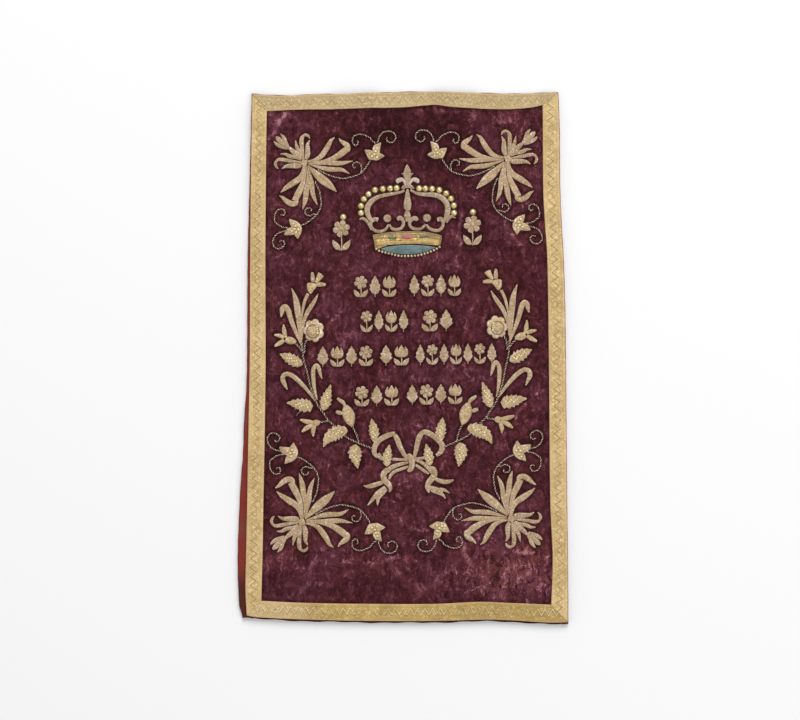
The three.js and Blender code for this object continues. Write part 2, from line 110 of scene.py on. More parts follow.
def eased(s: Array, a: Any, leaving: Any, b: Any, arriving: Any) -> Array:
    """A cubic from a to b with the given slopes at its ends."""
    return (
        (2 * s**3 - 3 * s**2 + 1) * a + (s**3 - 2 * s**2 + s) * leaving
        + (3 * s**2 - 2 * s**3) * b + (s**3 - s**2) * arriving
    )


def distances(path: Array) -> Array:
    """How far along the path each of its points is."""
    return np.concatenate([[0], np.cumsum(np.hypot(*np.diff(path, axis=0).T))])


def oval(x: float, y: float, wide: float, high: float, count: int) -> list[Point]:
    """Points round an ellipse, from its half width and half height."""
    return [(x + wide * math.cos(a), y + high * math.sin(a)) for a in np.linspace(0, 2 * np.pi, count, endpoint=False)]


@dataclass(frozen=True)
class Edge:
    """A smooth curve through a few (place, value) pairs."""

    stops: tuple[Point, ...]

    def __call__(self, at: Any) -> Array:
        """The value at each place.

        Args:
            at: places along the edge; those past its ends take the end value.

        Returns:
            The values, in the shape of at.
        """
        place, value = np.array(self.stops, float).T
        slope = np.empty_like(value)
        slope[1:-1] = (value[2:] - value[:-2]) / (place[2:] - place[:-2])
        slope[0] = (value[1] - value[0]) / (place[1] - place[0])
        slope[-1] = (value[-1] - value[-2]) / (place[-1] - place[-2])
        at = np.clip(at, place[0], place[-1])
        i = np.clip(np.searchsorted(place, at) - 1, 0, len(place) - 2)
        d = place[i + 1] - place[i]
        return eased((at - place[i]) / d, value[i], d * slope[i], value[i + 1], d * slope[i + 1])


def spline(points: Sequence[Sequence[float]], closed: bool = False, per: int = 14) -> Array:
    """A smooth curve through the points.

    Args:
        points: two or more points.
        closed: whether the curve goes back to its first point.
        per: how many steps each stretch is cut into.

    Returns:
        The curve as an array of points.
    """
    p = np.array(points, float)
    p = np.vstack([p[-1], p, p[:2]]) if closed else np.vstack([2 * p[0] - p[1], p, 2 * p[-1] - p[-2]])
    out = []
    for a, b, c, d in zip(p[:-3], p[1:-2], p[2:-1], p[3:]):
        u, v, w = (max(np.linalg.norm(q - r), 1e-6) ** 0.5 for q, r in ((b, a), (c, b), (d, c)))
        start = ((b - a) / u - (c - a) / (u + v) + (c - b) / v) * v
        end = ((c - b) / v - (d - b) / (v + w) + (d - c) / w) * v
        out.append(eased(np.linspace(0, 1, per, endpoint=False)[:, None], b, start, c, end))
    return np.vstack(out if closed else out + [p[-2][None]])


# ---------------------------------------------------------------- the mantle's form


@dataclass(frozen=True)
class Crease:
    """A soft ridge of the cloth, or a trough where its height is below 0."""

    start: Point
    end: Point
    height: float
    width: float

    def reach(self, x: Array, y: Array) -> Array:
        """How strongly the crease is felt at each place, from 0 to 1."""
        run = np.subtract(self.end, self.start)
        t = np.clip(((x - self.start[0]) * run[0] + (y - self.start[1]) * run[1]) / (run @ run), 0, 1)
        away = np.hypot(x - self.start[0] - t * run[0], y - self.start[1] - t * run[1])
        return np.exp(-((away / self.width) ** 2))


def creases(*rows: tuple[Point, Point, float, float]) -> tuple[Crease, ...]:
    """Creases from their start, end, height and width."""
    return tuple(Crease(*row) for row in rows)


FOLDS = creases(
    ((52, 366), (96, 346), 1.3, 24), ((118, 362), (196, 352), 0.9, 20),
    ((-206, 352), (-120, 358), 0.8, 22), ((-60, 354), (10, 348), 0.9, 26),
    ((-160, 148), (-122, 205), 0.9, 22), ((104, 250), (92, 140), 1.0, 24),
    ((-104, 40), (-88, 76), 0.9, 22), ((114, 108), (112, 60), 0.8, 22),
    ((-60, -300), (30, -286), 1.0, 30), ((-190, -330), (-90, -344), 1.1, 26),
    ((98, -300), (112, -356), 1.5, 24), ((148, -304), (160, -356), 1.3, 22),
    ((196, -300), (206, -352), 1.0, 20), ((60, -240), (20, -252), 0.7, 26),
)

# Sharp crushed creases, where the pile catches the light.
CREASES = creases(
    ((-118, 33), (-88, 82), 0.6, 3.6), ((45, 378), (80, 340), 0.8, 5.0),
    ((60, 372), (150, 352), 0.7, 5.0), ((85, 214), (84, 130), 0.7, 4.6),
    ((120, 250), (165, 186), 0.6, 5.0), ((165, 186), (195, 132), 0.5, 5.0),
    ((122, 50), (130, 100), 0.6, 4.0), ((140, -135), (172, -84), 0.5, 5.0),
    ((172, -84), (208, -50), 0.5, 4.6), ((60, -130), (62, -170), 0.5, 4.0),
    ((85, -280), (100, -305), 0.7, 5.0), ((100, -305), (126, -346), 0.7, 6.0),
    ((138, -298), (138, -342), -0.8, 5.0), ((-200, 330), (-185, 355), 0.6, 6.0),
    ((-185, 355), (-165, 368), 0.5, 6.0), ((-120, -290), (-60, -310), 0.5, 5.0),
    ((-60, -310), (20, -300), 0.5, 5.0), ((-20, -240), (40, -262), 0.4, 5.0),
    ((170, -330), (212, -318), 0.6, 5.0), ((110, -262), (200, -300), 0.5, 5.0),
)


@dataclass(frozen=True)
class MantleForm:
    """The lie of the two cloths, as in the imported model."""

    back_thick: float = 1.6
    front_thick: float = 1.8
    sleeve: float = 7.6
    roll: float = 6.7
    roll_top: float = 3.9
    flange: float = 9.0
    left: Edge = Edge(((-388, -234.5), (-350, -236.4), (-300, -235.7), (-220, -234), (-100, -231.8),
                       (0, -230), (150, -229.4), (300, -227.8), (396, -226.3)))
    right: Edge = Edge(((-398, 247.3), (-300, 246.8), (-220, 245.7), (-60, 244.2), (60, 243),
                        (150, 240.4), (200, 237.4), (260, 235), (350, 234.2), (398, 232.4)))
    top: Edge = Edge(((-227, 395.6), (-175, 393.6), (-125, 396), (-100, 395.3), (-50, 397.7),
                      (50, 399.2), (100, 397.7), (165, 396.4), (233, 398)))
    hem: Edge = Edge(((-235, -387), (-220, -389.6), (-150, -393), (-50, -395.2), (50, -395.2),
                      (125, -393.2), (170, -394.7), (220, -397.8), (248, -397.2)))
    braid_left: Edge = Edge(((-365, -212.4), (-300, -210.6), (-220, -209.3), (-100, -207), (0, -206),
                             (150, -206.3), (300, -205.2), (370, -204.2)))
    braid_right: Edge = Edge(((-371, 222.2), (-300, 224.3), (-220, 220.8), (0, 218.6), (150, 216.2),
                              (200, 212.8), (250, 210.2), (379, 209.4)))
    braid_top: Edge = Edge(((-205, 369.4), (-150, 372), (-100, 372.4), (-50, 374.2), (0, 375.4),
                            (45, 378.8), (75, 375.4), (150, 372.4), (190, 374.8), (210, 379)))
    braid_hem: Edge = Edge(((-213, -364.8), (-150, -367.8), (-50, -369.4), (50, -369.4), (115, -366.2),
                            (150, -367.5), (223, -370.6)))
    fold_left: Edge = Edge(((-390, -242), (-378, -245.8), (-350, -247.6), (-300, -248.4), (-220, -245.5),
                            (-180, -243.2), (-150, -240.6), (-100, -239), (-50, -235.6), (0, -234.4),
                            (150, -233.4), (250, -230.9), (397, -227.4)))

    def roll_height(self, y: Array) -> Array:
        """Height of the rolled side edges of the back cloth."""
        return blend(self.roll, self.roll_top, smooth(350, 386, y))

    def under(self, x: Array, y: Array) -> Array:
        """Underside of the front panel."""
        over = np.maximum(
            1 - smooth(8, 20, x - self.left(y) - self.flange),
            1 - smooth(8, 20, self.right(y) - self.flange - x),
        )
        sewn = blend(self.back_thick + 0.3, self.roll_top + 0.3, over)
        raised = self.sleeve + sum(f.height * f.reach(x, y) for f in FOLDS)
        stave = 1 - smooth(22, 42, np.abs(np.abs(x - 4) - 75))
        low = blend(raised, sewn, smooth(350, 394, y) * (1 - stave))
        inside = smooth(0, 16, x - self.braid_left(y)) * smooth(0, 16, self.braid_right(y) - x)
        return low + inside * sum(c.height * c.reach(x, y) for c in CREASES)

    def face(self, x: Array, y: Array) -> Array:
        """Top of the velvet."""
        return self.under(x, y) + self.front_thick


FORM = MantleForm()


# ---------------------------------------------------------------- shader graphs


class Value:
    """A shader socket that takes part in Python arithmetic."""

    def __init__(self, graph: Graph, socket: bpy.types.NodeSocket) -> None:
        """Wraps a socket of that graph."""
        self.graph = graph
        self.socket = socket

    def maths(self, operation: str, *others: Any) -> Value:
        """A Math node on this value and the others."""
        return self.graph.add("ShaderNodeMath", {"operation": operation}, dict(enumerate((self, *others))))

    def __add__(self, other: Any) -> Value:
        """Sum."""
        return self.maths("ADD", other)

    __radd__ = __add__

    def __sub__(self, other: Any) -> Value:
        """Difference."""
        return self.maths("SUBTRACT", other)

    def __rsub__(self, other: Any) -> Value:
        """Difference from a number."""
        return self.graph.add("ShaderNodeMath", {"operation": "SUBTRACT"}, {0: other, 1: self})

    def __mul__(self, other: Any) -> Value:
        """Product."""
        return self.maths("MULTIPLY", other)

    __rmul__ = __mul__

    def __abs__(self) -> Value:
        """Size without sign."""
        return self.maths("ABSOLUTE")

    def __pow__(self, power: float) -> Value:
        """Power."""
        return self.maths("POWER", power)

    def wave(self, length: float) -> Value:
        """A sine wave of that length, from -1 to 1."""
        return (self * (2 * math.pi / length)).maths("SINE")

    def ramp(self, low: float, high: float, a: float = 0.0, b: float = 1.0) -> Value:
        """A smooth step from a at low to b at high."""
        return self.graph.add(
            "ShaderNodeMapRange", {"interpolation_type": "SMOOTHSTEP"},
            {"Value": self, "From Min": low, "From Max": high, "To Min": a, "To Max": b},
        )


class Graph:
    """The node graph of one material, with its Principled shader."""

    def __init__(self, name: str) -> None:
        """Starts a material of that name."""
        self.material = bpy.data.materials.new(name)
        self.material.use_nodes = True
        self.tree = self.material.node_tree
        self.shader = self.tree.nodes["Principled BSDF"]

    def put(self, socket: bpy.types.NodeSocket, value: Any) -> None:
        """Links a value to a socket, or sets a number or colour on it."""
        if isinstance(value, Value):
            self.tree.links.new(value.socket, socket)
        elif isinstance(value, tuple) and len(value) == 3 and socket.type == "RGBA":
            socket.default_value = (*value, 1.0)
        else:
            socket.default_value = value

    def add(self, kind: str, settings: dict[str, Any], inputs: dict[Any, Any], output: Any = 0) -> Value:
        """Adds a node.

        Args:
            kind: the node's type.
            settings: its own settings, which are set first.
            inputs: values or links for its sockets.
            output: which of its outputs is wanted.

        Returns:
            That output.
        """
        node = self.tree.nodes.new(kind)
        for key, value in settings.items():
            setattr(node, key, value)
        for key, value in inputs.items():
            self.put(node.inputs[key], value)
        return Value(self, node.outputs[output])

    def place(self) -> Value:
        """Place on the object, in metres."""
        return self.add("ShaderNodeTexCoord", {}, {}, "Object")

    def turned(self, place: Value, angle: float, scale: tuple[float, float, float]) -> Value:
        """A place turned about Z by an angle in degrees, and scaled."""
        return self.add("ShaderNodeMapping", {},
                        {"Vector": place, "Rotation": (0, 0, math.radians(angle)), "Scale": scale})

    def noise(self, place: Value, scale: float, detail: float = 3.0, rough: float = 0.55) -> Value:
        """Noise from 0 to 1."""
        return self.add("ShaderNodeTexNoise", {},
                        {"Vector": place, "Scale": scale, "Detail": detail, "Roughness": rough})

    def part(self, place: Value, axis: int) -> Value:
        """One coordinate of a place."""
        return self.add("ShaderNodeSeparateXYZ", {}, {0: place}, axis)

    def along(self, name: str) -> Value:
        """A piece's own UV map, in metres along and across its threads."""
        return self.add("ShaderNodeUVMap", {"uv_map": name}, {})

    def painted(self, name: str, output: str = "Fac") -> Value:
        """A value stored on a piece's points."""
        return self.add("ShaderNodeAttribute", {"attribute_name": name}, {}, output)

    def colour(self, share: Any, a: Any, b: Any) -> Value:
        """A mix of two colours."""
        node = self.tree.nodes.new("ShaderNodeMix")
        node.data_type = "RGBA"
        for key, value in ((0, share), (6, a), (7, b)):
            self.put(node.inputs[key], value)
        return Value(self, node.outputs[2])

    def layered(self, tone: Value, *layers: tuple[Any, Any]) -> Value:
        """A tone with the colour of each layer mixed over it by the layer's share, in turn."""
        for share, colour in layers:
            tone = self.colour(share, tone, colour)
        return tone

    def bump(self, height: Value, strength: float, distance: float) -> Value:
        """A bump normal."""
        return self.add("ShaderNodeBump", {}, {"Height": height, "Strength": strength, "Distance": distance})

    def finish(self, **sockets: Any) -> bpy.types.Material:
        """Sets the shader's sockets, named with _ for a space.

        Returns:
            The finished material.
        """
        for key, value in sockets.items():
            self.put(self.shader.inputs[key.replace("_", " ")], value)
        return self.material


@dataclass(frozen=True)
class VelvetFinish:
    """Worn silk velvet, crushed this way and that, so that its pile catches the light in patches."""

    stops: tuple[tuple[float, Colour], ...] = (
        (0.14, (0.023, 0.0052, 0.0064)), (0.34, (0.047, 0.0103, 0.0130)), (0.49, (0.0740, 0.0172, 0.0236)),
        (0.63, (0.110, 0.0310, 0.0405)), (0.78, (0.185, 0.061, 0.076)), (1.0, (0.34, 0.15, 0.165)),
    )
    worn: Colour = (0.20, 0.060, 0.052)

    def make(self) -> bpy.types.Material:
        """Makes the material."""
        g = Graph("worn_velvet")
        at = g.place()
        drift = g.add("ShaderNodeTexNoise", {}, {"Vector": at, "Scale": 34, "Detail": 3.0, "Roughness": 0.6}, "Color")
        away = g.add("ShaderNodeVectorMath", {"operation": "MULTIPLY_ADD"},
                     {0: drift, 1: (0.024, 0.024, 0.024), 2: (-0.012, -0.012, -0.012)})
        bent = g.add("ShaderNodeVectorMath", {"operation": "ADD"}, {0: at, 1: away})
        patches = g.noise(at, 22, 3, 0.55)
        facets = g.part(g.add("ShaderNodeTexVoronoi", {"feature": "SMOOTH_F1"},
                              {"Vector": bent, "Scale": 82, "Smoothness": 0.25}, "Color"), 0)
        flecks = g.part(g.add("ShaderNodeTexVoronoi", {"feature": "SMOOTH_F1"},
                              {"Vector": bent, "Scale": 210, "Smoothness": 0.4}, "Color"), 1)
        pile = g.noise(at, 420, 3, 0.65)
        bright, dark = None, None
        for angle, scale, low in ((35, 190, 0.0), (-48, 160, 2.0), (82, 175, 4.0)):
            lie = g.noise(g.turned(bent, angle, (1.0, 0.24, 1.0)), scale, 3, 0.6)
            here = g.noise(g.turned(at, angle + low * 11, (1.0, 1.0, 1.0)), 31, 2, 0.5).ramp(0.42, 0.6)
            up, down = lie.ramp(0.55, 0.68) * here, lie.ramp(0.45, 0.33) * here
            bright = up if bright is None else bright.maths("MAXIMUM", up)
            dark = down if dark is None else dark.maths("MAXIMUM", down)
        crush = abs(g.noise(bent, 44, 3, 0.55) - 0.5).ramp(0.0, 0.026, 1.0, 0.0)
        pinch = abs(g.noise(bent, 62, 3, 0.55) - 0.47).ramp(0.0, 0.028, 1.0, 0.0)
        level = patches * 0.34 + facets * 0.15 + flecks * 0.13 + pile * 0.22 + 0.045
        level = level + bright * 0.17 - dark * 0.12 + crush * (flecks * 0.2) - pinch * 0.10
        crease, wear = g.painted("crease"), g.painted("worn")
        # Painted highlight along the crushed creases, where the pile catches the light, and painted shade in the
        # trough.
        level = level + crease * (facets * 0.2 + flecks * 0.2) + wear * 0.12
        level = level + wear.ramp(0.1, 0.9) * (bright * 0.12 + crush * 0.14 - dark * 0.2 - pinch * 0.16)
        # Painted shade on the velvet round the gold work, the bosses and the braids' inner edges.
        level = level * 1.25 - g.painted("shade") * 0.20 - 0.122
        tone = g.add("ShaderNodeValToRGB", {}, {0: level})
        ramp = tone.socket.node.color_ramp
        ramp.elements[0].position, ramp.elements[1].position = self.stops[0][0], self.stops[-1][0]
        ramp.elements[0].color, ramp.elements[1].color = (*self.stops[0][1], 1), (*self.stops[-1][1], 1)
        for place, colour in self.stops[1:-1]:
            ramp.elements.new(place).color = (*colour, 1)
        bare = wear.ramp(0.35, 1.1, 0.0, 0.5) * g.noise(bent, 90, 4, 0.7).ramp(0.46, 0.6)
        tone = g.colour(bare, tone, self.worn)
        cast = g.colour(g.noise(bent, 24, 4, 0.62).ramp(0.4, 0.6), (1.015, 1.0, 0.93), (0.975, 0.995, 1.09))
        tone = g.add("ShaderNodeVectorMath", {"operation": "MULTIPLY"}, {0: tone, 1: cast})
        return g.finish(Base_Color=tone, Roughness=0.9, Sheen_Weight=0.08, Sheen_Roughness=0.5,
                        Sheen_Tint=(0.7, 0.34, 0.4, 1.0), Specular_IOR_Level=0.05,
                        Normal=g.bump(level + crush * 0.1, 0.5, 0.003))


@dataclass(frozen=True)
class BackClothFinish:
    """Plain-woven dull red cloth, darker towards the hem."""

    red: Colour = (0.228, 0.033, 0.022)
    dark: Colour = (0.088, 0.021, 0.016)

    def make(self) -> bpy.types.Material:
        """Makes the material."""
        g = Graph("red_back_cloth")
        at = g.place()
        x, y = g.part(at, 0), g.part(at, 1)
        weave = x.wave(0.0011) * y.wave(0.0012) * 0.5 + 0.5
        soil = g.noise(at, 26, 4, 0.6)
        paling = g.colour(soil.ramp(0.35, 0.7), self.red, (0.20, 0.055, 0.042))
        tone = g.colour(y.ramp(-0.31, -0.35), paling, self.dark)
        tone = g.colour(weave * 0.35, tone, (0.06, 0.012, 0.012))
        return g.finish(Base_Color=tone, Roughness=0.92, Specular_IOR_Level=0.1,
                        Normal=g.bump(weave + g.noise(at, 900, 2) * 0.5, 0.5, 0.0004))


@dataclass(frozen=True)
class BraidFinish:
    """Woven gold braid: ribbed edges and a middle band with a zigzag line."""

    name: str = "gold_braid"
    pale: Colour = (0.695, 0.495, 0.222)
    deep: Colour = (0.51, 0.35, 0.137)
    line: Colour = (0.26, 0.165, 0.055)
    glow: Colour = (0.90, 0.74, 0.45)
    left_tone: Colour = (0.68, 0.49, 0.255)
    selvedge: Colour = (0.66, 0.43, 0.25)
    zigzag: float = 0.0134
    swing: float = 0.0046
    dark_line: float = 0.8
    light_line: float = 0.4
    speckle: float = 0.35
    darker_right: float = 0.0
    paling: float = 0.0

    def make(self) -> bpy.types.Material:
        """Makes the material."""
        g = Graph(self.name)
        at, uv = g.place(), g.along("weave")
        run, across = g.part(uv, 0), g.part(uv, 1)
        wobble = g.noise(at, 38, 2) * 0.0022 - 0.0011
        phase = ((run + wobble) * (1 / self.zigzag)).maths("FRACT")
        wave = (abs(phase * 2 - 1) * 2 - 1) * self.swing
        near = across - wave + 0.0007
        line = abs(near).ramp(0.0003, 0.0012, 1.0, 0.0)
        # A pale raised thread beside the zigzag line, lighter partly in its own tone and partly by a painted
        # highlight.
        light = abs(near - 0.0019).ramp(0.0003, 0.0011, 1.0, 0.0)
        ribs, cords = run.wave(0.0013) * 0.5 + 0.5, across.wave(0.0019) * 0.5 + 0.5
        middle = abs(across).ramp(0.0066, 0.0078, 1.0, 0.0)
        weave = ribs * (1 - cords * middle * 0.6)
        soil = g.noise(at, 38, 5, 0.65)
        glint = g.noise(at, 330, 3, 0.65)
        worn = g.noise(at, 21, 3, 0.6).ramp(0.38, 0.56, 0.25, 1.0)
        x = g.part(at, 0)
        tone = g.layered(
            g.colour(soil.ramp(0.34, 0.7), self.pale, self.deep),
            # Darker towards the right end and paler towards the left end.
            (x.ramp(0.0, 0.16, 0.0, self.darker_right), self.deep),
            (x.ramp(-0.19, -0.11, self.paling, 0.0), self.left_tone),
            # Painted shade in the grooves between the ribs of the weave.
            (weave.ramp(0.0, 1.0, 0.22, 0.0), self.line),
            (middle * glint.ramp(0.36, 0.52, self.speckle, 0.0), self.line),
            (glint.ramp(0.54, 0.68, 0.0, 0.5), self.glow),
            (line * worn * self.dark_line, self.line),
            # The pale thread beside the zigzag: its own tone and a painted highlight.
            (light * worn * self.light_line, self.glow),
            (abs(across).ramp(0.0094, 0.0120) * 0.4, self.selvedge),
            (abs(abs(across) - 0.0080).ramp(0.0, 0.0006, 0.35, 0.0), self.line),
        )
        height = weave - line * 1.6 + light * 1.2 + soil * 0.4
        return g.finish(Base_Color=tone, Metallic=0.2, Roughness=glint.ramp(0.4, 0.7, 0.62, 0.38),
                        Normal=g.bump(height, 0.7, 0.0005))


@dataclass(frozen=True)
class ThreadFinish:
    """Metal thread laid side by side over padding."""

    name: str = "gold_thread"
    pale: Colour = (0.655, 0.475, 0.345)
    deep: Colour = (0.35, 0.225, 0.110)
    bright: Colour = (0.95, 0.80, 0.63)
    gilt: Colour = (0.74, 0.53, 0.245)
    spot: Colour = (0.13, 0.075, 0.02)
    silvery: Colour = (0.70, 0.58, 0.48)
    hollow: Colour = (0.16, 0.085, 0.04)
    shadow: Colour = (0.045, 0.018, 0.010)
    metal: float = 0.3

    def make(self) -> bpy.types.Material:
        """Makes the material."""
        g = Graph(self.name)
        at, uv = g.place(), g.along("thread")
        run, across = g.part(uv, 0), g.part(uv, 1)
        # The mark holds tarnish, nearness to the rim, which sets the painted shadow and highlight below, and
        # yellowness.
        mark = g.painted("wear", "Vector")
        stain, rim, yellow = g.part(mark, 0), g.part(mark, 1), g.part(mark, 2)
        strands = run.wave(0.0006) * 0.5 + 0.5
        tarnish = g.noise(at, 75, 5, 0.7)
        glint = g.noise(g.add("ShaderNodeCombineXYZ", {}, {0: run * 1.0, 1: across * 0.3, 2: stain}), 520, 4, 0.7)
        blotch = g.noise(at, 300, 3, 0.6)
        tone = g.layered(
            g.colour(tarnish.ramp(0.39, 0.66), self.pale, self.deep),
            # The middle darker than the edges: partly the thread's more olive tone in the middle, partly a painted
            # highlight along the edges, which catch the light.
            (rim.ramp(0.3, 0.82, 0.6, 0.0), self.deep),
            (stain.ramp(0.0, 1.0, 0.0, 0.3), self.deep),
            (yellow * 0.85, self.gilt),
            (yellow * blotch.ramp(0.42, 0.52, 0.65, 0.0), self.spot),
            ((yellow * -1).ramp(0.0, 1.0), self.silvery),
            (glint.ramp(0.51, 0.67, 0.0, 0.7), self.bright),
            # Painted shade in the grooves between the strands of thread.
            (strands.ramp(0.0, 0.5, 0.22, 0.0), self.hollow),
            (rim.ramp(0.88, 1.06), self.shadow),
        )
        return g.finish(Base_Color=tone, Metallic=self.metal, Roughness=glint.ramp(0.35, 0.7, 0.56, 0.34),
                        Normal=g.bump(strands + glint * 0.9, 0.6, 0.00035))


@dataclass(frozen=True)
class MetalFinish:
    """Small stamped metal: bosses, beads and spangles."""

    name: str
    tone: Colour
    dark: Colour
    metal: float
    rough: float

    def make(self) -> bpy.types.Material:
        """Makes the material."""
        g = Graph(self.name)
        wear = g.noise(g.place(), 420, 3, 0.6)
        rim = g.part(g.painted("wear", "Vector"), 1)
        tone = g.colour(wear.ramp(0.42, 0.66), self.tone, self.dark)
        # Painted shade round the outer edge of each boss, bead and spangle.
        tone = g.colour(rim.ramp(0.66, 0.96, 0.0, 0.9), tone, (0.07, 0.04, 0.015))
        return g.finish(Base_Color=tone, Metallic=self.metal,
                        Roughness=wear.ramp(0.3, 0.7, self.rough, self.rough + 0.2),
                        Normal=g.bump(wear, 0.35, 0.0004))


@dataclass(frozen=True)
class SilkFinish:
    """Coloured silk in satin stitch, or foil behind the crown's stones."""

    name: str
    tone: Colour
    light: Colour
    rough: float = 0.5
    coat: float = 0.0

    def make(self) -> bpy.types.Material:
        """Makes the material."""
        g = Graph(self.name)
        at = g.place()
        fibres = g.noise(g.turned(at, 4, (0.25, 1.0, 1.0)), 700, 3, 0.65)
        patch = g.noise(at, 90, 3, 0.6)
        tone = g.colour((fibres * 0.6 + patch * 0.5).ramp(0.42, 0.68), self.tone, self.light)
        return g.finish(Base_Color=tone, Roughness=self.rough, Coat_Weight=self.coat, Sheen_Weight=0.2,
                        Normal=g.bump(fibres, 0.5, 0.0004))


# ---------------------------------------------------------------- meshes


def linked(name: str, data: Any) -> bpy.types.Object:
    """A new object in the scene that holds the data."""
    thing = bpy.data.objects.new(name, data)
    bpy.context.scene.collection.objects.link(thing)
    return thing


@dataclass
class Shells:
    """Closed shells gathered into one joined mesh."""

    points: list[Array] = field(default_factory=list)
    faces: list[Any] = field(default_factory=list)
    uvs: list[Array] = field(default_factory=list)
    marks: list[Array] = field(default_factory=list)
    count: int = 0

    def add(self, points: Array, faces: Iterable[Sequence[int]], uv: Array | None = None,
            mark: Any = (0, 0, 0)) -> None:
        """Adds a shell.

        Args:
            points: its points, in millimetres.
            faces: its faces, as indices into points, turned outwards.
            uv: place along and across its threads, a pair a point.
            mark: tarnish, nearness to the rim, which sets painted shade and highlight, and yellowness, for the whole
                shell or for each point.
        """
        self.points.append(points)
        self.faces.extend([[i + self.count for i in f] for f in faces])
        self.uvs.append(np.zeros((len(points), 2)) if uv is None else uv)
        self.marks.append(np.broadcast_to(np.asarray(mark, float), (len(points), 3)))
        self.count += len(points)

    def piece(self, name: str, material: bpy.types.Material, node: str, uv_name: str = "thread",
              angle: float = 40.0) -> bpy.types.Object:
        """Makes the object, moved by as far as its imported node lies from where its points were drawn.

        Args:
            name: its name.
            material: its material.
            node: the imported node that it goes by.
            uv_name: the name of its UV map.
            angle: edges sharper than this, in degrees, stay sharp.

        Returns:
            The new object.
        """
        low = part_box(node)[0]
        move = np.array([low.x - DRAWN_FROM[node][0] * MM, low.y - DRAWN_FROM[node][1] * MM, 0.0])
        mesh = bpy.data.meshes.new(name)
        mesh.from_pydata((np.vstack(self.points) * MM + move).tolist(), [], self.faces)
        corners = np.empty(len(mesh.loops), np.int64)
        mesh.loops.foreach_get("vertex_index", corners)
        layer = mesh.uv_layers.new(name=uv_name)
        layer.data.foreach_set("uv", (np.vstack(self.uvs)[corners] * MM).ravel().astype(np.float32))
        # Tarnish, nearness to the rim for the painted shade and highlight, and yellowness.
        store = mesh.attributes.new("wear", "FLOAT_VECTOR", "POINT")
        store.data.foreach_set("vector", np.vstack(self.marks).ravel().astype(np.float32))
        mesh.materials.append(material)
        mesh.shade_smooth()
        mesh.set_sharp_from_angle(angle=math.radians(angle))
        return linked(name, mesh)


def slab(upper: Array, lower: Array) -> tuple[Array, list[list[int]]]:
    """A closed sheet between two grids of points.

    Args:
        upper: rows by columns by 3, columns running to +X and rows to +Y.
        lower: the same for the other side.

    Returns:
        Its points and faces.
    """
    rows, columns = upper.shape[:2]
    size = rows * columns
    index = np.arange(size).reshape(rows, columns)
    a, b, c, d = index[:-1, :-1], index[:-1, 1:], index[1:, 1:], index[1:, :-1]
    top = np.stack([a, b, c, d], -1).reshape(-1, 4)
    ring = np.concatenate([index[0, :-1], index[:-1, -1], index[-1, :0:-1], index[:0:-1, 0]])
    wall = np.stack([ring, ring + size, np.roll(ring, -1) + size, np.roll(ring, -1)], -1)
    faces = np.vstack([top, top[:, ::-1] + size, wall])
    return np.vstack([upper.reshape(-1, 3), lower.reshape(-1, 3)]), faces.tolist()


def finished(piece: bpy.types.Object, slot: str, *nodes: str) -> bpy.types.Object:
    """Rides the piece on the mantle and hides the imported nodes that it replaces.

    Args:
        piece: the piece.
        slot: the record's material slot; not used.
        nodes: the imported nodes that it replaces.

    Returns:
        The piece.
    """
    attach(piece, "root")
    if nodes:
        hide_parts(*nodes)
    log.info("%s: %d faces", piece.name, len(piece.data.polygons))
    return piece


# ---------------------------------------------------------------- gold work

SUNK = 0.3  # how deep the foot of a padded shape goes into the velvet
# A foot lies past the rim, so it takes the full painted shadow.
FOOT = 1.4  # nearness to the rim that is painted on a foot, which is past the rim
ROUND = 2.6  # how square the top of the padding is


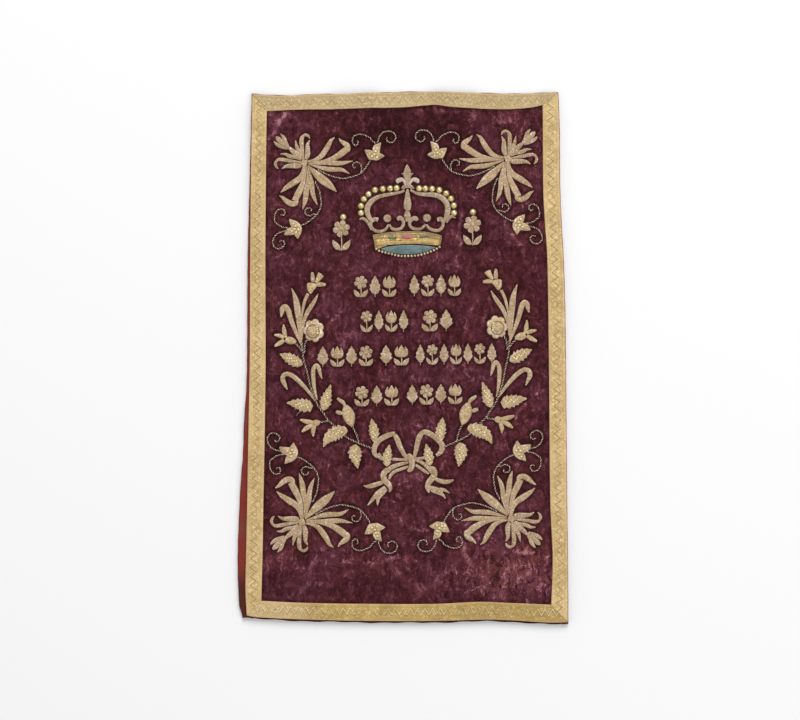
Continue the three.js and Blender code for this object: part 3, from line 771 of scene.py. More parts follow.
@dataclass
class GoldWork:
    """Padded gold-thread shapes and twisted cords on the velvet, gathered for one piece."""

    name: str
    shells: Shells = field(default_factory=Shells)
    # (x, y, half width) along the work, round which the velvet is painted with shade
    shade_stations: list[Station] = field(default_factory=list)
    spots: list[Station] = field(default_factory=list)
    seed: int = 3

    def __post_init__(self) -> None:
        """Seeds the small differences between one shape and the next."""
        self.chance = np.random.default_rng(self.seed + sum(map(ord, self.name)))

    def petal(self, stations: Sequence[Station], thread: Thread = Thread.ACROSS, rise: float = 1.9,
              teeth: float = 0.0, spangled: bool = False, lift: float = 0.0, yellow: float = 0.0) -> None:
        """Adds a padded petal, leaf or ribbon.

        Args:
            stations: (x, y, half width) along its middle.
            thread: how the thread lies.
            rise: height of its padding at the widest.
            teeth: how deep its edge is notched, as a share of its width.
            spangled: whether spangles run along its middle.
            lift: how far it is raised over what lies below.
            yellow: how yellow its middle is, or how pale where it is below 0.
        """
        s = np.array(stations, float)
        path = spline(s[:, :2])
        width = Edge(tuple((i, w) for i, w in enumerate(s[:, 2])))(np.linspace(0, len(s) - 1, len(path)))
        length = distances(path)
        rows = max(int(length[-1] / 0.6), 6)
        at = np.linspace(0, length[-1], rows)
        side = np.array([-1, -0.9, -0.68, -0.38, -0.12, 0.0, 0.12, 0.38, 0.68, 0.9, 1])
        slant = 0.75 * np.abs(side) if thread is Thread.VEINED else 0.22 * side
        w0 = np.interp(at, length, width)
        where = at[:, None] + slant * w0[:, None]
        tangent = np.gradient(path, length, axis=0)
        tangent /= np.maximum(np.linalg.norm(tangent, axis=1, keepdims=True), 1e-9)
        cx, cy, tx, ty, w = (np.interp(where, length, v) for v in (path[:, 0], path[:, 1], *tangent.T, width))
        if teeth:
            saw = (where / 6.6) % 1.0
            w = w * (1 - teeth * (1 - saw) * np.abs(side) ** 3)
        w = np.maximum(w * (1 + 0.012 * self.chance.standard_normal(rows))[:, None], 0.35)
        x = cx - ty * w * side
        y = cy + tx * w * side
        dome = (1 - np.abs(side) ** ROUND) ** 0.5
        height = 0.35 + np.minimum(0.3 + 0.36 * w0, rise)[:, None] * dome
        if thread is Thread.VEINED:
            height -= (0.42 * np.minimum(w0, 3.5) * 0.35)[:, None] * np.exp(-((side / 0.14) ** 2))
        height += 0.13 * (np.arange(rows) % 2)[:, None] * (1 - np.abs(side) ** 6)
        ground = FORM.face(x, y)
        top = np.stack([x, y, ground + height + lift], -1)
        foot = np.stack([x[:, [0, -1]], y[:, [0, -1]], ground[:, [0, -1]] - SUNK], -1)
        ring = np.concatenate([foot[:, :1], top, foot[:, 1:]], 1)
        n = ring.shape[1]
        index = np.arange(rows * n).reshape(rows, n)
        a, b = index[:-1], index[1:]
        faces = np.stack([a, b, np.roll(b, -1, 1), np.roll(a, -1, 1)], -1).reshape(-1, 4)
        uv = np.stack([np.pad(where, ((0, 0), (1, 1)), mode="edge"),
                       np.pad(w * side, ((0, 0), (1, 1)), mode="edge")], -1).reshape(-1, 2)
        caps = [index[0].tolist(), index[-1][::-1].tolist()]
        # Nearness to the rim, for the painted shadow at the edges and foot and the painted highlight along the edges.
        rim = np.broadcast_to(np.concatenate([[FOOT], np.abs(side), [FOOT]]), ring.shape[:2])
        middle = yellow * smooth(0.95, 0.3, rim) if yellow > 0 else np.full_like(rim, yellow)
        mark = np.stack([np.full_like(rim, self.chance.uniform(0, 0.8)), rim, middle], -1).reshape(-1, 3)
        self.shells.add(ring.reshape(-1, 3), faces.tolist() + caps, uv, mark)
        self.shade_stations += [(*path[i], float(width[i])) for i in range(0, len(path), 4)]
        if spangled:
            for i, d in enumerate(np.arange(0.2 * length[-1], 0.68 * length[-1], 2.9)):
                k = int(np.searchsorted(length, d))
                off = (1.5, -1.6, 0.2)[i % 3]
                self.spots.append((float(path[k, 0] - tangent[k, 1] * off),
                                   float(path[k, 1] + tangent[k, 0] * off), 2.5))

    def cord(self, points: Sequence[Point], radius: float, turn: float, lift: float = 0.0,
             dark: float = 1.2, yellow: float = 0.0, pale: float = 0.45) -> None:
        """Adds a twisted cord couched on the velvet.

        Args:
            points: its path.
            radius: its radius.
            turn: the length of one turn of its twist.
            lift: how far it is raised over what lies below.
            dark: how dark the painted shade in the hollow between its two strands is.
            yellow: how yellow one strand is.
            pale: how pale the other strand is.
        """
        path = spline(points)
        length = distances(path)
        rows = max(int(length[-1] / 0.75), 6)
        at = np.linspace(0, length[-1], rows)
        cx, cy = (np.interp(at, length, path[:, i]) for i in (0, 1))
        tx, ty = np.gradient(cx), np.gradient(cy)
        size = np.maximum(np.hypot(tx, ty), 1e-9)
        angle = np.linspace(0, 2 * np.pi, 8, endpoint=False)
        shape = radius * (0.5 + 0.5 * np.abs(np.cos(angle)))
        round_ = angle + (at * 2 * np.pi / turn)[:, None]
        out, up = shape * np.cos(round_), shape * np.sin(round_)
        x = cx[:, None] - (ty / size)[:, None] * out
        y = cy[:, None] + (tx / size)[:, None] * out
        z = (FORM.face(cx, cy) + lift)[:, None] + 0.75 * radius + up
        index = np.arange(rows * 8).reshape(rows, 8)
        a, b = index[:-1], index[1:]
        faces = np.stack([a, np.roll(a, -1, 1), np.roll(b, -1, 1), b], -1).reshape(-1, 4)
        uv = np.stack([np.repeat(at[:, None], 8, 1), np.repeat(angle[None] * radius, rows, 0)], -1).reshape(-1, 2)
        caps = [index[0][::-1].tolist(), index[-1].tolist()]
        # Painted shade in the hollow between the two strands.
        hollow = np.broadcast_to(dark * (1 - np.abs(np.cos(angle))) ** 0.7, (rows, 8))
        strand = np.broadcast_to(np.where(np.cos(angle) > 0, -pale, yellow), (rows, 8))
        mark = np.stack([np.where(strand < 0, 0.0, 0.3), hollow, strand], -1).reshape(-1, 3)
        self.shells.add(np.stack([x, y, z], -1).reshape(-1, 3), faces.tolist() + caps, uv, mark)
        self.shade_stations += [(*path[i], radius) for i in range(0, len(path), 4)]

    def puff(self, outline: Sequence[Point], centre: Point, rise: float = 2.0, lift: float = 0.0,
             steps: int = 5, smoothing: int = 4, rays: float = 0.1, yellow: float = 0.0) -> None:
        """Adds a padded shape that is domed from its outline to a middle point.

        Args:
            outline: points round it, anticlockwise, all in sight of the middle.
            centre: the middle point.
            rise: height of its padding.
            lift: how far it is raised over what lies below.
            steps: rings between the outline and the middle.
            smoothing: steps to each stretch of the outline.
            rays: height of the threads that run out from the middle.
            yellow: how yellow its middle is.
        """
        rim = spline(outline, closed=True, per=smoothing)
        if np.sum(rim[:, 0] * np.roll(rim[:, 1], -1) - rim[:, 1] * np.roll(rim[:, 0], -1)) < 0:
            rim = rim[::-1]
        n, base = len(rim), 0.3
        share = np.cos(np.linspace(0, np.pi / 2, steps + 1)[:-1])[:, None]
        x = centre[0] + (rim[:, 0] - centre[0]) * share
        y = centre[1] + (rim[:, 1] - centre[1]) * share
        height = base + rise * (1 - share**ROUND) ** 0.5 + rays * (np.arange(n) % 2) * share
        ground = FORM.face(x, y)
        rings = np.stack([x, y, ground + height + lift], -1)
        foot = np.stack([x[0], y[0], ground[0] - SUNK], -1)[None]
        tip = np.array([[*centre, float(FORM.face(*np.array(centre))) + base + rise + lift]])
        points = np.vstack([foot.reshape(-1, 3), rings.reshape(-1, 3), tip])
        index = np.arange((steps + 1) * n).reshape(steps + 1, n)
        a, b = index[:-1], index[1:]
        faces = np.stack([a, np.roll(a, -1, 1), np.roll(b, -1, 1), b], -1).reshape(-1, 4).tolist()
        last, end = index[-1], (steps + 1) * n
        faces += [[int(last[i]), int(last[(i + 1) % n]), end] for i in range(n)] + [index[0][::-1].tolist()]
        uv = np.hypot(points[:, 0] - centre[0], points[:, 1] - centre[1])
        turn = np.arctan2(points[:, 1] - centre[1], points[:, 0] - centre[0])
        # Nearness to the rim, for the painted shadow round the outline and the painted highlight near it.
        near = np.concatenate([np.full(n, FOOT), np.repeat(share[:, 0], n), [0.0]])
        middle = yellow * (1 - np.minimum(near, 1) ** 2)
        mark = np.stack([np.full_like(near, self.chance.uniform(0, 0.7)), near, middle], -1)
        self.shells.add(points, faces, np.stack([turn * 5, uv], -1), mark)
        self.shade_stations += [(*rim[i], 1.5) for i in range(0, n, 3)]

    def piece(self, material: bpy.types.Material, slot: str, *nodes: str) -> bpy.types.Object:
        """Makes the piece."""
        return finished(self.shells.piece(self.name, material, (nodes or ("front_panel",))[0]), slot, *nodes)


@dataclass
class Stamp:
    """One small part, modelled once and set down many times."""

    master: bpy.types.Object
    shells: Shells = field(default_factory=Shells)

    def __post_init__(self) -> None:
        """Reads the part's mesh and takes the part itself away."""
        mesh = self.master.data
        self.points = np.array([v.co for v in mesh.vertices]) / MM
        self.faces = [list(p.vertices) for p in mesh.polygons]
        bpy.data.objects.remove(self.master)

    def set(self, x: float, y: float, lift: float = 0.0, turn: float = 0.0,
            size: tuple[float, ...] = (1, 1, 1)) -> None:
        """Sets one down on the velvet, turned by an angle in degrees."""
        p = self.points * size
        c, s = math.cos(math.radians(turn)), math.sin(math.radians(turn))
        z = float(FORM.face(np.array(x), np.array(y))) + lift
        placed = np.stack([x + c * p[:, 0] - s * p[:, 1], y + s * p[:, 0] + c * p[:, 1], z + p[:, 2]], -1)
        # Distance from the middle, for the painted shade round the edge.
        away = np.hypot(*self.points[:, :2].T)
        mark = np.stack([np.zeros_like(away), away / away.max(), np.zeros_like(away)], -1)
        self.shells.add(placed, self.faces, mark=mark)


def emptied() -> None:
    """Deselects everything, because an operator acts on all that is selected."""
    bpy.ops.object.select_all(action="DESELECT")


def joined(whole: bpy.types.Object, extra: bpy.types.Object) -> bpy.types.Object:
    """Joins the extra part to the whole."""
    whole.select_set(True)
    extra.select_set(True)
    bpy.context.view_layer.objects.active = whole
    bpy.ops.object.join()
    return whole


def boss_master() -> bpy.types.Object:
    """A stamped dome with a turned rim.

    Returns:
        The dome, standing on the origin.
    """
    emptied()
    bpy.ops.mesh.primitive_uv_sphere_add(segments=18, ring_count=12, radius=4.3 * MM, location=(0, 0, 0))
    boss = bpy.context.object
    bpy.ops.object.mode_set(mode="EDIT")
    bpy.ops.mesh.select_all(action="SELECT")
    bpy.ops.mesh.bisect(plane_co=(0, 0, -0.4 * MM), plane_no=(0, 0, 1), clear_inner=True, use_fill=True)
    bpy.ops.mesh.select_all(action="SELECT")
    bpy.ops.transform.resize(value=(1, 1, 0.78), center_override=(0, 0, 0))
    bpy.ops.object.mode_set(mode="OBJECT")
    emptied()
    bpy.ops.mesh.primitive_torus_add(major_radius=4.35 * MM, minor_radius=0.55 * MM, major_segments=24,
                                     minor_segments=6, location=(0, 0, 0.2 * MM))
    return joined(boss, bpy.context.object)


def spangle_master() -> bpy.types.Object:
    """A dished spangle held by a bead.

    Returns:
        The spangle, standing on the origin.
    """
    emptied()
    bpy.ops.mesh.primitive_cylinder_add(vertices=12, radius=1.8 * MM, depth=0.3 * MM, location=(0, 0, 0.15 * MM))
    spangle = bpy.context.object
    bpy.ops.object.mode_set(mode="EDIT")
    bpy.ops.mesh.select_mode(type="FACE")
    bpy.ops.mesh.select_all(action="DESELECT")
    bpy.ops.object.mode_set(mode="OBJECT")
    for face in spangle.data.polygons:
        face.select = face.normal.z > 0.9
    bpy.ops.object.mode_set(mode="EDIT")
    bpy.ops.mesh.inset(thickness=0.75 * MM)
    bpy.ops.transform.translate(value=(0, 0, -0.18 * MM))
    bpy.ops.object.mode_set(mode="OBJECT")
    emptied()
    bpy.ops.mesh.primitive_uv_sphere_add(segments=8, ring_count=6, radius=0.75 * MM, location=(0, 0, 0.55 * MM))
    return joined(spangle, bpy.context.object)


def bead_master() -> bpy.types.Object:
    """A small round bead.

    Returns:
        The bead, standing on the origin.
    """
    emptied()
    bpy.ops.mesh.primitive_uv_sphere_add(segments=12, ring_count=8, radius=2.2 * MM, location=(0, 0, 1.2 * MM))
    bead = bpy.context.object
    bpy.ops.object.transform_apply(location=True)
    return bead


# ---------------------------------------------------------------- corner sprays

# The top left spray, as it lies on the mantle; the others are turned and mirrored from it.
SPRAY_KNOT = (-148.0, 292.0)
SPRAY_PETALS: tuple[tuple[Station, ...], ...] = (
    ((-149.5, 296, 1.6), (-150.8, 305, 2.6), (-151.6, 314, 3.0), (-152.3, 322, 3.2), (-151.6, 329, 3.0),
     (-149.5, 333, 1.8)),
    ((-151, 331.5, 1.6), (-146.5, 333.8, 2.2), (-142, 332, 2.0), (-139.8, 328, 0.7)),
    ((-145.5, 297, 2.4), (-143.2, 304, 3.8), (-143, 312, 3.6), (-143, 319, 2.6), (-140, 326, 0.7)),
    ((-151, 298, 1.8), (-155, 307, 2.9), (-159, 315, 2.8), (-161.5, 326, 0.6)),
    ((-152, 297, 2.8), (-157, 303, 4.2), (-164, 308.5, 3.8), (-172, 315.5, 1.9)),
    ((-153, 296, 1.4), (-160, 299.8, 2.4), (-170, 301.8, 3.0), (-177, 305, 2.0), (-184, 305, 0.7)),
    ((-153, 292.6, 1.2), (-160, 293.7, 1.8), (-170, 295, 2.6), (-179, 296.6, 2.7), (-186, 297, 2.4),
     (-190, 295, 1.6)),
    ((-189, 296, 1.7), (-191.5, 291, 2.2), (-190, 286, 1.8), (-187, 283, 0.6)),
    ((-152, 288.5, 2.6), (-158, 287.5, 3.9), (-167, 287.5, 3.7), (-176, 286.4, 2.4), (-182, 283, 0.7)),
    ((-171.5, 315, 1.5), (-176, 322, 2.4), (-178.5, 329, 2.3), (-183.5, 335.5, 0.6)),
    ((-172.5, 314, 1.6), (-182, 322.5, 2.8), (-187, 327.8, 2.9), (-190.5, 331, 1.0)),
    ((-173, 313, 1.4), (-182, 315.8, 2.1), (-189, 319.5, 2.1), (-193.5, 323.7, 0.7)),
    ((-149, 289, 1.0), (-151, 277, 2.5), (-156, 268, 4.1), (-166, 261, 4.5), (-176, 254, 3.2), (-183.5, 247.5, 0.6)),
    ((-147, 288, 0.9), (-148, 272, 2.5), (-151.5, 258, 3.9), (-157, 246, 4.8), (-162.6, 235, 4.4)),
    ((-158.4, 236.5, 2.2), (-161, 231.6, 3.8), (-167, 230.6, 4.3), (-174, 234, 3.8), (-180, 239.4, 2.4),
     (-185.4, 242.8, 0.6)),
    ((-145, 287, 0.7), (-143, 272, 1.8), (-143, 260, 3.4), (-145, 250, 4.1), (-146, 240, 4.0), (-148.2, 230, 2.6),
     (-150.5, 222, 0.5)),
    ((-143, 287, 0.7), (-139, 272, 2.2), (-137, 260, 3.7), (-136, 250, 3.5), (-133.5, 240, 2.9), (-128.5, 229, 0.6)),
    ((-143, 288, 0.9), (-132, 277, 4.4), (-122, 268, 6.3), (-111, 259, 5.3), (-99.5, 248.5, 0.6)),
    ((-142, 290, 0.7), (-128, 286, 2.2), (-116, 283, 3.5), (-104, 282, 3.6), (-92, 281.5, 2.9), (-80, 275.5, 0.6)),
    ((-142, 291.5, 0.7), (-128, 290.8, 1.8), (-116, 291.5, 3.0), (-104, 291.5, 3.7), (-92, 291.5, 3.2),
     (-75, 294.8, 0.6)),
    ((-142, 293.5, 0.8), (-125, 293.6, 1.6), (-115, 295.4, 2.6), (-105, 298.5, 3.8), (-96, 303.5, 4.7),
     (-88.5, 309, 4.9), (-83.6, 313.6, 3.8)),
    ((-86.4, 308.6, 2.2), (-82.6, 312, 3.8), (-83.8, 317.6, 4.2), (-88.6, 321.4, 3.4), (-93, 324.6, 2.2),
     (-96.2, 328.8, 0.6)),
    ((-144, 294.5, 0.7), (-134, 296, 2.0), (-125, 300, 3.5), (-118, 308, 4.1), (-112, 318, 3.8), (-108, 325.5, 2.4),
     (-102.5, 330, 0.6)),
)
SPRAY_TENDRILS: tuple[tuple[Point, ...], ...] = (
    ((-128, 282), (-122, 278.5), (-110, 273), (-100, 270), (-90, 268.4), (-80, 270.2), (-70, 273), (-63, 276.5),
     (-58, 282), (-53, 289), (-49, 296)),
    ((-63, 277), (-62.3, 285), (-65, 291), (-70, 293), (-75, 289.8), (-74.4, 285), (-71, 284.8)),
    ((-132, 264), (-129, 258), (-125.5, 250), (-124, 243), (-123, 235), (-122.7, 229.9), (-125.2, 221.1),
     (-129, 214.7), (-134.1, 209.7), (-141.7, 203.7), (-149.3, 199.5), (-154, 198.3)),
    ((-130.3, 214.8), (-134.7, 214.7), (-138.5, 212.8), (-142.9, 213.2), (-146.7, 216.6), (-146.1, 221.7),
     (-142.3, 224.2), (-137.9, 223.2), (-137.6, 219.4)),
    ((-41, 321), (-46.2, 324.8), (-49.8, 329.6), (-54, 331.7), (-58.2, 333.5), (-63.6, 334.7), (-69.6, 333.8),
     (-74.4, 330.8), (-75.9, 326), (-74.4, 320), (-70.8, 317.9), (-67.5, 321.2), (-68.2, 325.8)),
    ((-38, 322), (-36.6, 328.4), (-33, 334.4), (-28.8, 338), (-23.4, 339.2), (-17.4, 338.6), (-12.6, 335),
     (-10.8, 330.2), (-12.6, 325.4), (-16.8, 322.4), (-21.6, 323), (-24.6, 326.6), (-23.8, 330.4)),
    ((-172, 194), (-182.2, 196.1), (-188.5, 200.2), (-192, 203.3), (-192.7, 208.4), (-192, 214.7),
     (-188.5, 220.4), (-182.8, 222.7), (-179, 221.4), (-177.1, 216.6), (-179.7, 213.2), (-183.6, 214.6)),
    ((-174, 190), (-184.7, 187.5), (-191.1, 183.1), (-194.2, 178), (-195.5, 172.3), (-193.6, 166.6),
     (-188.5, 163.1), (-182.8, 164.1), (-178.4, 167.9), (-177.8, 172.3), (-180.9, 175.5), (-185.4, 174.4)),
)
SPRAY_STARS: tuple[tuple[Point, tuple[Point, ...]], ...] = (
    ((-42.5, 304.5), ((-33.3, 322.4), (-37.8, 320.9), (-42.6, 319.4), (-45.6, 314), (-46.2, 308), (-51.6, 309.8),
                      (-57.6, 311.3), (-55.8, 305.6), (-53.4, 300.2), (-51, 296.6), (-45, 296), (-39, 295.4),
                      (-33, 298.4), (-27.6, 302), (-30.6, 305), (-34.8, 305.9), (-33.9, 312.8))),
    ((-162, 193.5), ((-170.8, 208.1), (-165.1, 206.5), (-159.4, 204.6), (-154.3, 200.2), (-151.5, 193.8),
                     (-151.8, 188.1), (-155, 181.8), (-157.8, 177.4), (-160.7, 180.5), (-163.2, 183.7),
                     (-169.5, 183.4), (-178.1, 183.4), (-177.1, 189.4), (-173.3, 193.8), (-167.6, 196.4),
                     (-168.9, 201.4))),
)
STAR_SPANGLES: tuple[Point, ...] = ((-39, 314), (-41, 309.5), (-43, 305), (-46.5, 302), (-39, 300.5), (-50, 306),
                                    (-164.5, 201), (-161, 197), (-162.5, 192.5), (-160, 188), (-167, 189.5),
                                    (-156.5, 192))


# Which petals are veined, which are the bud's, and which lie open and show yellow.
VEINED_PETALS = (12, 13, 15, 16, 17)
BUD_PETALS = range(9, 12)
OPEN_PETALS = range(12, len(SPRAY_PETALS))


@dataclass(frozen=True)
class SprayPlace:
    """Where a corner's spray lies and the way it faces."""

    node: str
    knot: Point
    flip: tuple[int, int]
    turn: float
    size: float

    def move(self, point: Sequence[float]) -> tuple[float, ...]:
        """A point of the top left spray moved to this corner, with its half width if it has one."""
        a = (point[0] - SPRAY_KNOT[0]) * self.flip[0] * self.size
        b = (point[1] - SPRAY_KNOT[1]) * self.flip[1] * self.size
        c, s = math.cos(math.radians(self.turn)), math.sin(math.radians(self.turn))
        rest = (point[2] * self.size,) if len(point) > 2 else ()
        return (self.knot[0] + a * c - b * s, self.knot[1] + a * s + b * c, *rest)


SPRAY_PLACES = (
    SprayPlace("spray_top_left", (-148, 292), (1, 1), 0, 1),
    SprayPlace("spray_top_right", (157, 298), (-1, 1), 2, 1),
    SprayPlace("spray_bottom_left", (-152, -246.5), (1, -1), 1, 1.04),
    SprayPlace("spray_bottom_right", (162, -241.5), (-1, -1), 0.5, 1.02),
)


@dataclass
class CornerSpray:
    """A lily spray with two star flowers on tendrils."""

    place: SprayPlace

    def build(self, gold: bpy.types.Material) -> GoldWork:
        """Builds the spray and makes its piece.

        Args:
            gold: the thread's material.

        Returns:
            The gold work, for the painted shade round it on the velvet, and for its spangles.
        """
        work = GoldWork(self.place.node + "_gold")
        for tendril in SPRAY_TENDRILS:
            work.cord([self.place.move(p) for p in tendril], 1.2, 8.4, dark=2.3, yellow=0.1, pale=1.0)
        for i, petal in enumerate(SPRAY_PETALS):
            thread = Thread.VEINED if i in VEINED_PETALS else Thread.ACROSS
            fuller = [(x, y, w * (1.3 if i in BUD_PETALS else 1.06)) for x, y, w in petal]
            yellow = 0.25 if i in OPEN_PETALS else -0.05
            work.petal([self.place.move(p) for p in fuller], thread, lift=0.12 * (i % 3), yellow=yellow)
        x, y = SPRAY_KNOT
        knot = [(x + r * math.cos(a), y + r * math.sin(a)) for a, r in zip(np.linspace(0, 5.6, 9), (5, 6.4) * 5)]
        work.puff([self.place.move(p) for p in knot], self.place.move(SPRAY_KNOT), 1.3, lift=0.35, yellow=0.5)
        for centre, outline in SPRAY_STARS:
            work.puff([self.place.move(p) for p in outline], self.place.move(centre), 1.3, yellow=0.95)
            away = [math.dist(p, centre) for p in outline]
            for i, tip in enumerate(outline):
                if away[i] > 13 and away[i] >= max(away[i - 1], away[(i + 1) % len(away)]):
                    petal = [(*blend(np.array(centre), np.array(tip), t), w)
                             for t, w in ((0.0, 1.2), (0.35, 3.6), (0.65, 2.9), (0.97, 0.5))]
                    work.petal([self.place.move(p) for p in petal], Thread.VEINED, 1.5, lift=0.6, yellow=0.6)
        work.spots += [(*self.place.move(p), 2.4) for p in STAR_SPANGLES]
        work.piece(gold, "gold_thread", self.place.node)
        return work


# ---------------------------------------------------------------- crown

CROWN_RIBS: tuple[tuple[Station, ...], ...] = (
    ((2, 251, 1.8), (-1.5, 248.6, 1.9), (-12, 246.1, 2.3), (-26.1, 243.7, 2.9), (-36.9, 240.8, 3.2),
     (-44.9, 236.3, 3.8),
     (-50.5, 230.6, 4.3), (-53.6, 223.5, 4.5), (-53.1, 216.1, 4.0), (-50, 209.3, 3.4), (-46.5, 203.5, 2.6)),
    ((11, 251.4, 1.8), (14.6, 249.2, 1.9), (22, 245.8, 2.5), (33.4, 244.4, 3.2), (45.9, 243.9, 3.8), (55.5, 241, 4.2),
     (62.6, 235.4, 4.5), (66.5, 227.4, 4.5), (66.9, 218.9, 4.5), (64.5, 209.5, 3.7), (59.5, 203, 2.6)),
    ((-37, 206.6, 3.3), (-42.5, 207.2, 3.3), (-47.3, 203.6, 2.6), (-48.3, 198, 2.4), (-44.9, 192.4, 2.5),
     (-38, 189.2, 2.5),
     (-31.2, 189.7, 2.4), (-25.6, 192.9, 2.2), (-21.5, 199.5, 1.6)),
    ((-20.8, 199.5, 1.6), (-16.5, 193.6, 2.3), (-9.7, 191.9, 2.5), (-2.9, 194, 2.5), (0.6, 200.2, 2.5),
     (-0.6, 206.6, 3.0),
     (-5, 209.4, 3.6), (-8.6, 206.4, 2.6)),
    ((21.6, 205.2, 2.6), (18.4, 208.8, 3.6), (12.2, 206.4, 3.2), (9.8, 200.2, 2.5), (13, 194.7, 2.5),
     (19.8, 192.4, 2.5),
     (27.7, 193.6, 2.3), (34, 199.6, 1.6)),
    ((34.9, 199.6, 1.6), (39, 194.2, 2.3), (45.9, 190.9, 2.5), (53.8, 191, 2.5), (58.9, 195.8, 2.5), (60, 202.5, 2.6),
     (56.6, 207.8, 3.4), (51, 206.2, 3.3)),
    ((-65.5, 207.4, 0.9), (-60.5, 208.4, 2.4), (-55.6, 205.6, 2.4), (-51, 199, 1.8), (-47.6, 191, 1.2)),
    ((79, 209.2, 0.6), (73, 211.4, 2.2), (68.4, 208.2, 2.7), (65.4, 202, 1.2)),
    ((-1.8, 253.6, 1.2), (1.2, 257, 1.6), (6.7, 258.9, 1.7), (12.6, 257, 1.6), (16.4, 253, 1.2)),
    ((0.6, 252.6, 0.9), (3.4, 254.8, 1.1), (6.8, 255.8, 1.2), (10.6, 254.8, 1.1), (13.4, 252.4, 0.9)),
)
CROWN_SPIKE: tuple[tuple[Station, ...], ...] = (
    ((6.7, 253, 1.2), (6.7, 245, 3.4), (6.7, 238, 4.6), (6.7, 230, 6.1), (6.7, 224.5, 5.6), (6.7, 221, 4.2)),
    ((6.6, 222, 2.0), (6.4, 217, 4.2), (6.4, 211.5, 5.4), (6.4, 207, 2.6)),
    ((6.7, 258, 2.2), (6.7, 264, 3.3), (6.7, 270, 5.4), (6.6, 275.5, 6.3), (6.4, 281, 5.0), (6.2, 285.5, 3.0),
     (6.0, 289.6, 0.6)),
)
FINIAL_BARBS: tuple[tuple[Station, ...], ...] = (
    ((3, 272, 1.4), (0.6, 275, 1.5), (-2.2, 276.2, 0.6)), ((10.4, 272, 1.4), (13, 275, 1.5), (15.6, 276, 0.6)),
)
FINIAL_CURLS: tuple[tuple[Station, ...], ...] = (
    ((3.4, 259.5, 1.4), (1.6, 264.5, 2.4), (-2.4, 267, 3.2), (-7.4, 264.6, 4.0), (-8.4, 261.4, 1.6)),
    ((10.2, 259.5, 1.4), (12.2, 264.5, 2.4), (16.2, 267, 3.2), (21.2, 264.8, 3.9), (22.4, 261.6, 1.6)),
)
CROWN_BAND: tuple[Point, ...] = ((-44.6, 183.2), (-34, 185.2), (-23.3, 186.7), (-8, 187.9), (6.2, 188.3), (20, 188.2),
                                 (33.4, 187.6), (46, 185.2), (57.4, 182.1), (56.6, 175), (55, 168.6), (44, 168.8),
                                 (33.4, 169.4), (20, 170.2), (6.2, 170.6), (-8, 170), (-17.6, 169.2), (-29, 167),
                                 (-40, 163.6), (-42.4, 173))
CROWN_CAP: tuple[Point, ...] = ((-33, 162.6), (-24, 165.9), (-10, 168), (6.2, 169), (22, 168.6), (38, 167.2),
                                (48.4, 165),
                                (40, 160.4), (28, 156.9), (14, 154.9), (2, 154.6), (-12, 156), (-24, 159))
CROWN_BOSSES: tuple[Point, ...] = (
    (-9.7, 254.1), (-19.3, 253.5), (-30.3, 252.9), (-42, 251.2), (-51.7, 245), (-58.8, 237.6), (-63, 227.4),
    (-63, 216.7),
    (24.3, 253.5), (33.4, 253.3), (43.6, 252.9), (54.4, 251.2), (64.6, 246.1), (71.9, 238.2), (76.2, 228),
    (76.5, 216.7),
    (-89.7, 210.8), (104.8, 218),
)
CROWN_RIM: tuple[Point, ...] = ((-40, 162.6), (-36, 159.9), (-27, 157.4), (-18.8, 155.4), (-10, 153.1), (-0.6, 151.9),
                                (10.7, 152.1), (24.3, 153.4), (33, 155.8), (40.2, 158.1), (48, 161.6), (54.9, 165.6))


